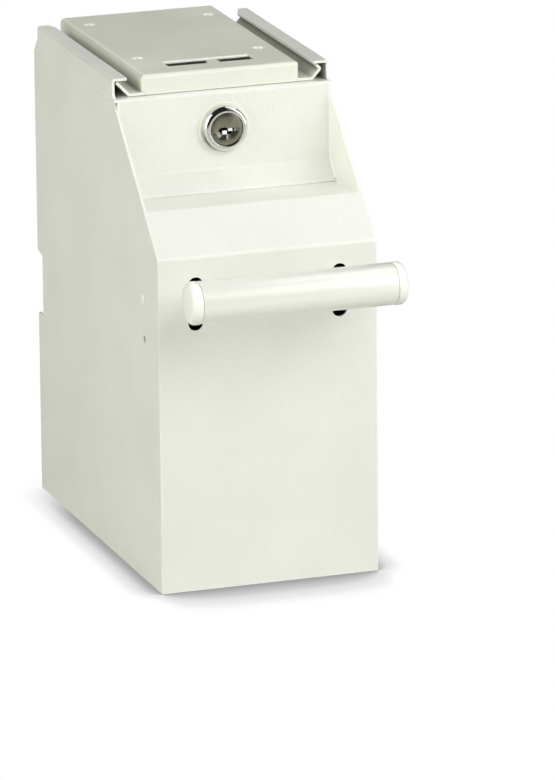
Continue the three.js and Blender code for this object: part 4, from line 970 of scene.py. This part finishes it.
class MakeLocks(bpy.types.Operator):
    """Make the bezels, plugs and cams of both cam locks"""
    bl_idname = "safe.make_locks"
    bl_label = "Make cam locks"

    def execute(self, context):
        front = (LOCK_CENTRE.x, LOCK_LOW.y, LOCK_CENTRE.z)
        rear = (DOOR_LOCK_CENTRE.x, DOOR_LOCK_HIGH.y, DOOR_LOCK_CENTRE.z)
        self.lock(front, -1, "lock_housing", "lock_plug", "housing", "front_lock")
        self.lock(rear, 1, "door_lock_housing", "door_lock_plug", "door", "door_lock")
        self.collar(sizes().collar_radius)
        self.hidden()
        return {"FINISHED"}

    def collar(self, radius):
        """The thin painted collar under the front bezel."""
        depth = COLLAR_HIGH.y - COLLAR_LOW.y
        rim = arc((radius - COLLAR_ROUND, -COLLAR_ROUND), COLLAR_ROUND, 0, 90, 4)
        ring = [(COLLAR_BORE, 0.0), (COLLAR_BORE, -depth), (radius, -depth), *rim]
        shape = revolved(ring, (0, -1, 0), (LOCK_CENTRE.x, COLLAR_LOW.y, LOCK_CENTRE.z), 96)
        piece = new_piece("lock_collar_ring", shape, collar_paint())
        settle(piece, "housing", "housing_paint", "lock_collar")

    def lock(self, nose, way, housing, plug, body, plug_body):
        """One lock: the bezel's nose is at its outermost point and faces along way times Y."""
        s = sizes()
        radius = s.bezel_radius
        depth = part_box(housing)
        length = (depth[1][1] - depth[0][1]) / MM
        seat = s.plug_radius + PLUG_PLAY
        quarter = arc((0, 0), 1, 0, 90, 14)
        dome = [(radius - s.bezel_taper * (1 - x), s.bezel_dome * (y - 1)) for x, y in quarter]
        lip = [(seat + x, y) for x, y in arc((LIP_ROUND, -LIP_ROUND), LIP_ROUND, 90, 180, 5)]
        floor = -s.plug_recess - BEZEL_POCKET
        profile = [(BARREL_BORE, floor), (BARREL_BORE, -length), (BARREL_RADIUS, -length),
                   (BARREL_RADIUS, -s.bezel_proud), (radius, -s.bezel_proud), *dome, *lip, (seat, floor)]
        bezel = revolved(profile, (0, way, 0), nose, 128)
        ring = new_piece(housing + "_bezel", bezel, chrome())
        mark_foot(ring, nose, s.bezel_dome * FOOT_START)
        settle(ring, body, "lock_chrome", housing)
        low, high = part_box(plug)
        reach = (high[1] - low[1]) / MM
        face = s.plug_radius
        top = -s.plug_recess
        tail = top - reach
        rim = [(face - inset, top - below) for inset, below in PLUG_RIM]
        shoulder = top - PLUG_HEAD
        end = tail + PLUG_STEP
        disc = [(0.0, top), *rim, (face, shoulder), (PLUG_BODY, shoulder), (PLUG_BODY, end), (PLUG_TAIL, end),
                (PLUG_TAIL, tail), (0.0, tail)]
        core = new_piece(plug + "_face", revolved(disc, (0, way, 0), nose, 96), plug_metal())
        self.carve(core, nose, way, top)
        settle(core, plug_body, "plug_metal", plug)

    def carve(self, core, nose, way, top):
        """Cuts the key slot with its bevelled mouth into the plug."""
        half = sizes().keyway_width / 2
        bm = bmesh.new()
        outline = [(-half, -0.2), (-half, 0.6), *KEYWAY_TOP, (half, 0.7), (half, -0.2), *KEYWAY_BOTTOM]
        rings = []
        for depth, grow in KEYWAY_LEVELS:
            spread = (half + (grow - 1.0) * KEYWAY_SPREAD) / half
            points = [(u * spread, KEYWAY_SINK + v * grow, top + depth) for u, v in outline]
            rings.append([bm.verts.new(point) for point in points])
        skin(bm, rings)
        bm.faces.new(rings[0])
        bm.faces.new(rings[-1][::-1])
        to_lock(bm, nose, way)
        cutter = new_piece("key_slot_cutter", bm, chrome())
        cut = core.modifiers.new("key slot", "BOOLEAN")
        cut.operation = "DIFFERENCE"
        cut.solver = "EXACT"
        cut.material_mode = "TRANSFER"
        cut.object = cutter
        made = bpy.data.meshes.new_from_object(core.evaluated_get(bpy.context.evaluated_depsgraph_get()))
        core.modifiers.clear()
        core.data = made
        bpy.data.objects.remove(cutter)
        # The wards' light paint stands in for the glint of their metal, a painted reflection.
        for material in (keyway_painted_shade(), nickel(), ward_painted_glint()):
            core.data.materials.append(material)
        # Slot faces deeper than the mouth get the near-black painted shade.
        for face in core.data.polygons:
            if face.material_index == CUT_SLOT:
                depth = (face.center.y / MM - nose[1]) * way
                face.material_index = NICKEL_SLOT if depth > top - KEYWAY_MOUTH else SHADE_SLOT
        self.wards(core, nose, way, top)

    def wards(self, core, nose, way, top):
        """Adds the light wards that stand in the key slot; their front upper edges lie deeper."""
        bm = bmesh.new()
        near = top - WARD_SINK
        for left, right, low, high, tilt in WARDS:
            placed = []
            for depth in (near, near - WARD_LENGTH):
                for u, v in ((left, low), (right, low), (right, high), (left, high)):
                    lean = tilt if depth == near and v == high else 0.0
                    placed.append(bm.verts.new((u, KEYWAY_SINK + v, depth - lean)))
            for corners in BLOCK_FACES:
                bm.faces.new([placed[i] for i in corners])
        to_lock(bm, nose, way)
        for face in bm.faces:
            face.material_index = WARD_SLOT
        bm.from_mesh(core.data)
        bm.to_mesh(core.data)
        bm.free()

    def hidden(self):
        """Finishes of the cams, nuts and screws inside."""
        refinish(zinc(), "lock_nut", "door_lock_nut")
        for node, body in (("lock_cam", "front_lock"), ("door_lock_cam", "door_lock"),
                           ("lock_cam_screw", "front_lock"), ("door_cam_screw", "door_lock")):
            piece = new_piece(node + "_plated", merged_copy(node), zinc())
            soften(piece, CAM_EDGE)
            settle(piece, body, "zinc_steel", node)


class MakeDoor(bpy.types.Operator):
    """Make the rear door with its knuckle hinge"""
    bl_idname = "safe.make_door"
    bl_label = "Make rear door"

    def execute(self, context):
        s = sizes()
        paint = housing_paint()
        sheet_piece("rear_door", "door", "housing_paint", paint, s.sheet_edge)
        sheet_piece("hinge_leaf", "housing", "housing_paint", paint, LEAF_EDGE)
        x = (PIN_LOW.x + PIN_HIGH.x) / 2
        y = (PIN_LOW.y + PIN_HIGH.y) / 2
        pitch = (PIN_HIGH.z - PIN_LOW.z) / s.knuckles
        length = pitch - 2 * KNUCKLE_GAP
        odd = (s.knuckles + 1) // 2
        rows = (("leaf_knuckles", "housing", 0.0, odd), ("door_knuckles", "door", pitch, s.knuckles - odd))
        for name, body, start, count in rows:
            base = (x, y, PIN_LOW.z + start + KNUCKLE_GAP)
            row = knuckle_row(name, base, s.knuckle_radius, KNUCKLE_BORE, length, 2 * pitch, count, paint)
            settle(row, body, "housing_paint")
        refinish(zinc(), "hinge_pin")
        return {"FINISHED"}


class MakeFlap(bpy.types.Operator):
    """Make the note flap behind the slot"""
    bl_idname = "safe.make_flap"
    bl_label = "Make note flap"

    def execute(self, context):
        sheet_piece("note_flap", "flap", "zinc_steel", zinc(), FLAP_EDGE)
        refinish(zinc(), "flap_pin")
        return {"FINISHED"}


class MakePivot(bpy.types.Operator):
    """Make the handle's pivot shaft with its riveted heads, spacers and washers"""
    bl_idname = "safe.make_pivot"
    bl_label = "Make pivot"

    def execute(self, context):
        s = sizes()
        y = (SHAFT_LOW.y + SHAFT_HIGH.y) / 2
        z = (SHAFT_LOW.z + SHAFT_HIGH.z) / 2
        head = s.rivet_radius
        out = SHAFT_HIGH.x
        crown = [(head * share, out - below) for share, below in RIVET_CROWN]
        rest = out - RIVET_REST
        half = [(SHAFT_RADIUS, 0.0), (SHAFT_RADIUS, rest), (head, rest), *crown]
        mirror = [(r, -a) for r, a in reversed(half)]
        shaft = revolved([*mirror[:-1], *half[1:]], (1, 0, 0), (0, y, z), 64)
        settle(new_piece("pivot_shaft_round", shaft, rivet_paint()), "housing", "handle_paint", "pivot_shaft")
        refinish(zinc(), "centre_spacer", "outer_spacer_left", "outer_spacer_right")
        refinish(nylon(), "friction_washer_left", "friction_washer_right")
        return {"FINISHED"}


# Studio
def by_camera_ray(nodes, links, other, seen, surface):
    """Gives the camera's rays one shader and all the other rays another."""
    path = nodes.new("ShaderNodeLightPath")
    mix = nodes.new("ShaderNodeMixShader")
    links.new(path.outputs["Is Camera Ray"], mix.inputs["Fac"])
    links.new(other, mix.inputs[1])
    links.new(seen, mix.inputs[2])
    links.new(mix.outputs["Shader"], surface)


def away(turn, rise):
    """The direction from the object to a light or the camera; turn 0 is in front, more is to the right."""
    return Vector((math.sin(turn) * math.cos(rise), -math.cos(turn) * math.cos(rise), math.sin(rise)))


class MakeStage(bpy.types.Operator):
    """Make the floor, the lights and the camera"""
    bl_idname = "safe.make_stage"
    bl_label = "Make stage"

    def execute(self, context):
        self.floor()
        self.world()
        self.lights()
        self.camera()
        context.scene.view_settings.view_transform = "Standard"
        return {"FINISHED"}

    def floor(self):
        """White paper for the camera, with a contact shadow, and a pale floor for every other ray."""
        bm = bmesh.new()
        square = ((-1, -1), (1, -1), (1, 1), (-1, 1))
        corners = [(x * FLOOR_REACH, y * FLOOR_REACH, -FLOOR_DROP) for x, y in square]
        bm.faces.new([bm.verts.new(corner) for corner in corners])
        material, nodes, links, shader = new_material("floor_paper")
        shader.inputs["Roughness"].default_value = 0.9
        shader.inputs["Base Color"].default_value = (*colours().floor, 1.0)
        shader.inputs["Specular IOR Level"].default_value = 0.1
        shader.inputs["Emission Color"].default_value = FILL
        shader.inputs["Emission Strength"].default_value = FLOOR_GLOW
        place = nodes.new("ShaderNodeTexCoord")
        axes = nodes.new("ShaderNodeSeparateXYZ")
        links.new(place.outputs["Object"], axes.inputs["Vector"])
        beside = math_node(nodes, "ABSOLUTE", links, axes.outputs["X"])
        width = map_range(nodes, links, beside.outputs[0], SHADOW_SIDE, SHADOW_WIDTH)
        shade = nodes.new("ShaderNodeAmbientOcclusion")
        shade.samples = 32
        links.new(width.outputs["Result"], shade.inputs["Distance"])
        tone = nodes.new("ShaderNodeValToRGB")
        tone.color_ramp.interpolation = "EASE"
        for spot, _ in SHADOW_STOPS[1:-1]:
            tone.color_ramp.elements.new(spot)
        for element, (spot, grey) in zip(tone.color_ramp.elements, SHADOW_STOPS):
            element.position = spot
            element.color = (grey, grey, grey, 1.0)
        links.new(shade.outputs["AO"], tone.inputs["Fac"])
        fade = map_range(nodes, links, axes.outputs["Y"], SHADOW_FADE, (0.0, SHADOW_FADE_MOST))
        fade.interpolation_type = "SMOOTHSTEP"
        paper = nodes.new("ShaderNodeEmission")
        faded = mixed(nodes, links, fade.outputs["Result"], tone.outputs["Color"], WHITE)
        links.new(faded, paper.inputs["Color"])
        by_camera_ray(nodes, links, shader.outputs["BSDF"], paper.outputs["Emission"],
                      nodes["Material Output"].inputs["Surface"])
        new_piece("floor", bm, material)

    def world(self):
        """White behind the object for the camera, and a faint fill for the other rays."""
        world = bpy.context.scene.world or bpy.data.worlds.new("studio")
        bpy.context.scene.world = world
        world.use_nodes = True
        nodes, links = world.node_tree.nodes, world.node_tree.links
        nodes.clear()
        seen = nodes.new("ShaderNodeBackground")
        seen.inputs["Color"].default_value = WHITE
        lit = nodes.new("ShaderNodeBackground")
        lit.inputs["Color"].default_value = FILL
        glossy = nodes.new("ShaderNodeLightPath").outputs["Is Glossy Ray"]
        dim = map_range(nodes, links, glossy, (0.0, 1.0), WORLD_LIGHT)
        links.new(dim.outputs["Result"], lit.inputs["Strength"])
        by_camera_ray(nodes, links, lit.outputs["Background"], seen.outputs["Background"],
                      nodes.new("ShaderNodeOutputWorld").inputs["Surface"])

    def lights(self):
        """All the soft lights."""
        for name, turn, rise, power, mirrored in SOFT_BOXES:
            self.soft_box(name, math.radians(turn), math.radians(rise), power, mirrored)

    def soft_box(self, name, turn, rise, power, mirrored):
        """A square soft light that looks at the object's middle; those far on the left are a little warm."""
        light = bpy.data.lights.new(name, "AREA")
        light.shape = "SQUARE"
        light.size = LIGHT_SIZE
        light.energy = power
        light.color = WARM if turn < WARM_TURN else EVEN
        lamp = bpy.data.objects.new(name, light)
        back = away(turn, rise)
        lamp.location = Vector((0, 0, LIGHT_AIM)) + back * LIGHT_DISTANCE
        lamp.visible_glossy = mirrored
        lamp.rotation_euler = (-back).to_track_quat("-Z", "Y").to_euler()
        bpy.context.scene.collection.objects.link(lamp)

    def camera(self):
        """The photograph's viewpoint, without a shift."""
        azimuth, elevation, roll = (math.radians(a) for a in CAMERA_ANGLES)
        back = away(azimuth, elevation)
        right = Vector((math.cos(azimuth), math.sin(azimuth), 0))
        up = back.cross(right)
        across = math.cos(roll) * right + math.sin(roll) * up
        upward = math.cos(roll) * up - math.sin(roll) * right
        data = bpy.data.cameras.new("camera")
        data.sensor_width = SENSOR
        data.lens = FOCAL_PIXELS / PICTURE_PIXELS * SENSOR
        data.clip_start = 0.1
        data.clip_end = 100.0
        camera = bpy.data.objects.new("camera", data)
        turned = Matrix((across, upward, back)).transposed().to_4x4()
        camera.matrix_world = Matrix.Translation(Vector(CAMERA_SPOT)) @ turned
        bpy.context.scene.collection.objects.link(camera)
        bpy.context.scene.camera = camera


class SafePanel(bpy.types.Panel):
    """Sizes, colours and steps of the drop safe"""
    bl_idname = "SAFE_PT_steps"
    bl_label = "Drop safe"
    bl_space_type = "VIEW_3D"
    bl_region_type = "UI"
    bl_category = "Drop safe"

    def draw(self, context):
        layout = self.layout
        for group in (context.scene.safe_sizes, context.scene.safe_colours):
            box = layout.box()
            for name in group.bl_rna.properties.keys():
                if name not in ("rna_type", "name"):
                    box.prop(group, name)
        for step in STEPS:
            layout.operator(step.bl_idname)


STEPS = (MakeShell, MakeBracket, MakeHandle, MakeLocks, MakeDoor, MakeFlap, MakePivot, MakeStage)
CLASSES = (SafeSizes, SafeColours, *STEPS, SafePanel)


def register():
    for cls in CLASSES:
        bpy.utils.register_class(cls)
    bpy.types.Scene.safe_sizes = PointerProperty(type=SafeSizes)
    bpy.types.Scene.safe_colours = PointerProperty(type=SafeColours)


def unregister():
    del bpy.types.Scene.safe_colours
    del bpy.types.Scene.safe_sizes
    for cls in reversed(CLASSES):
        bpy.utils.unregister_class(cls)


def main():
    """Builds the whole scene."""
    register()
    for step in STEPS:
        group, name = step.bl_idname.split(".")
        getattr(getattr(bpy.ops, group), name)()


if __name__ == "__main__":
    main()
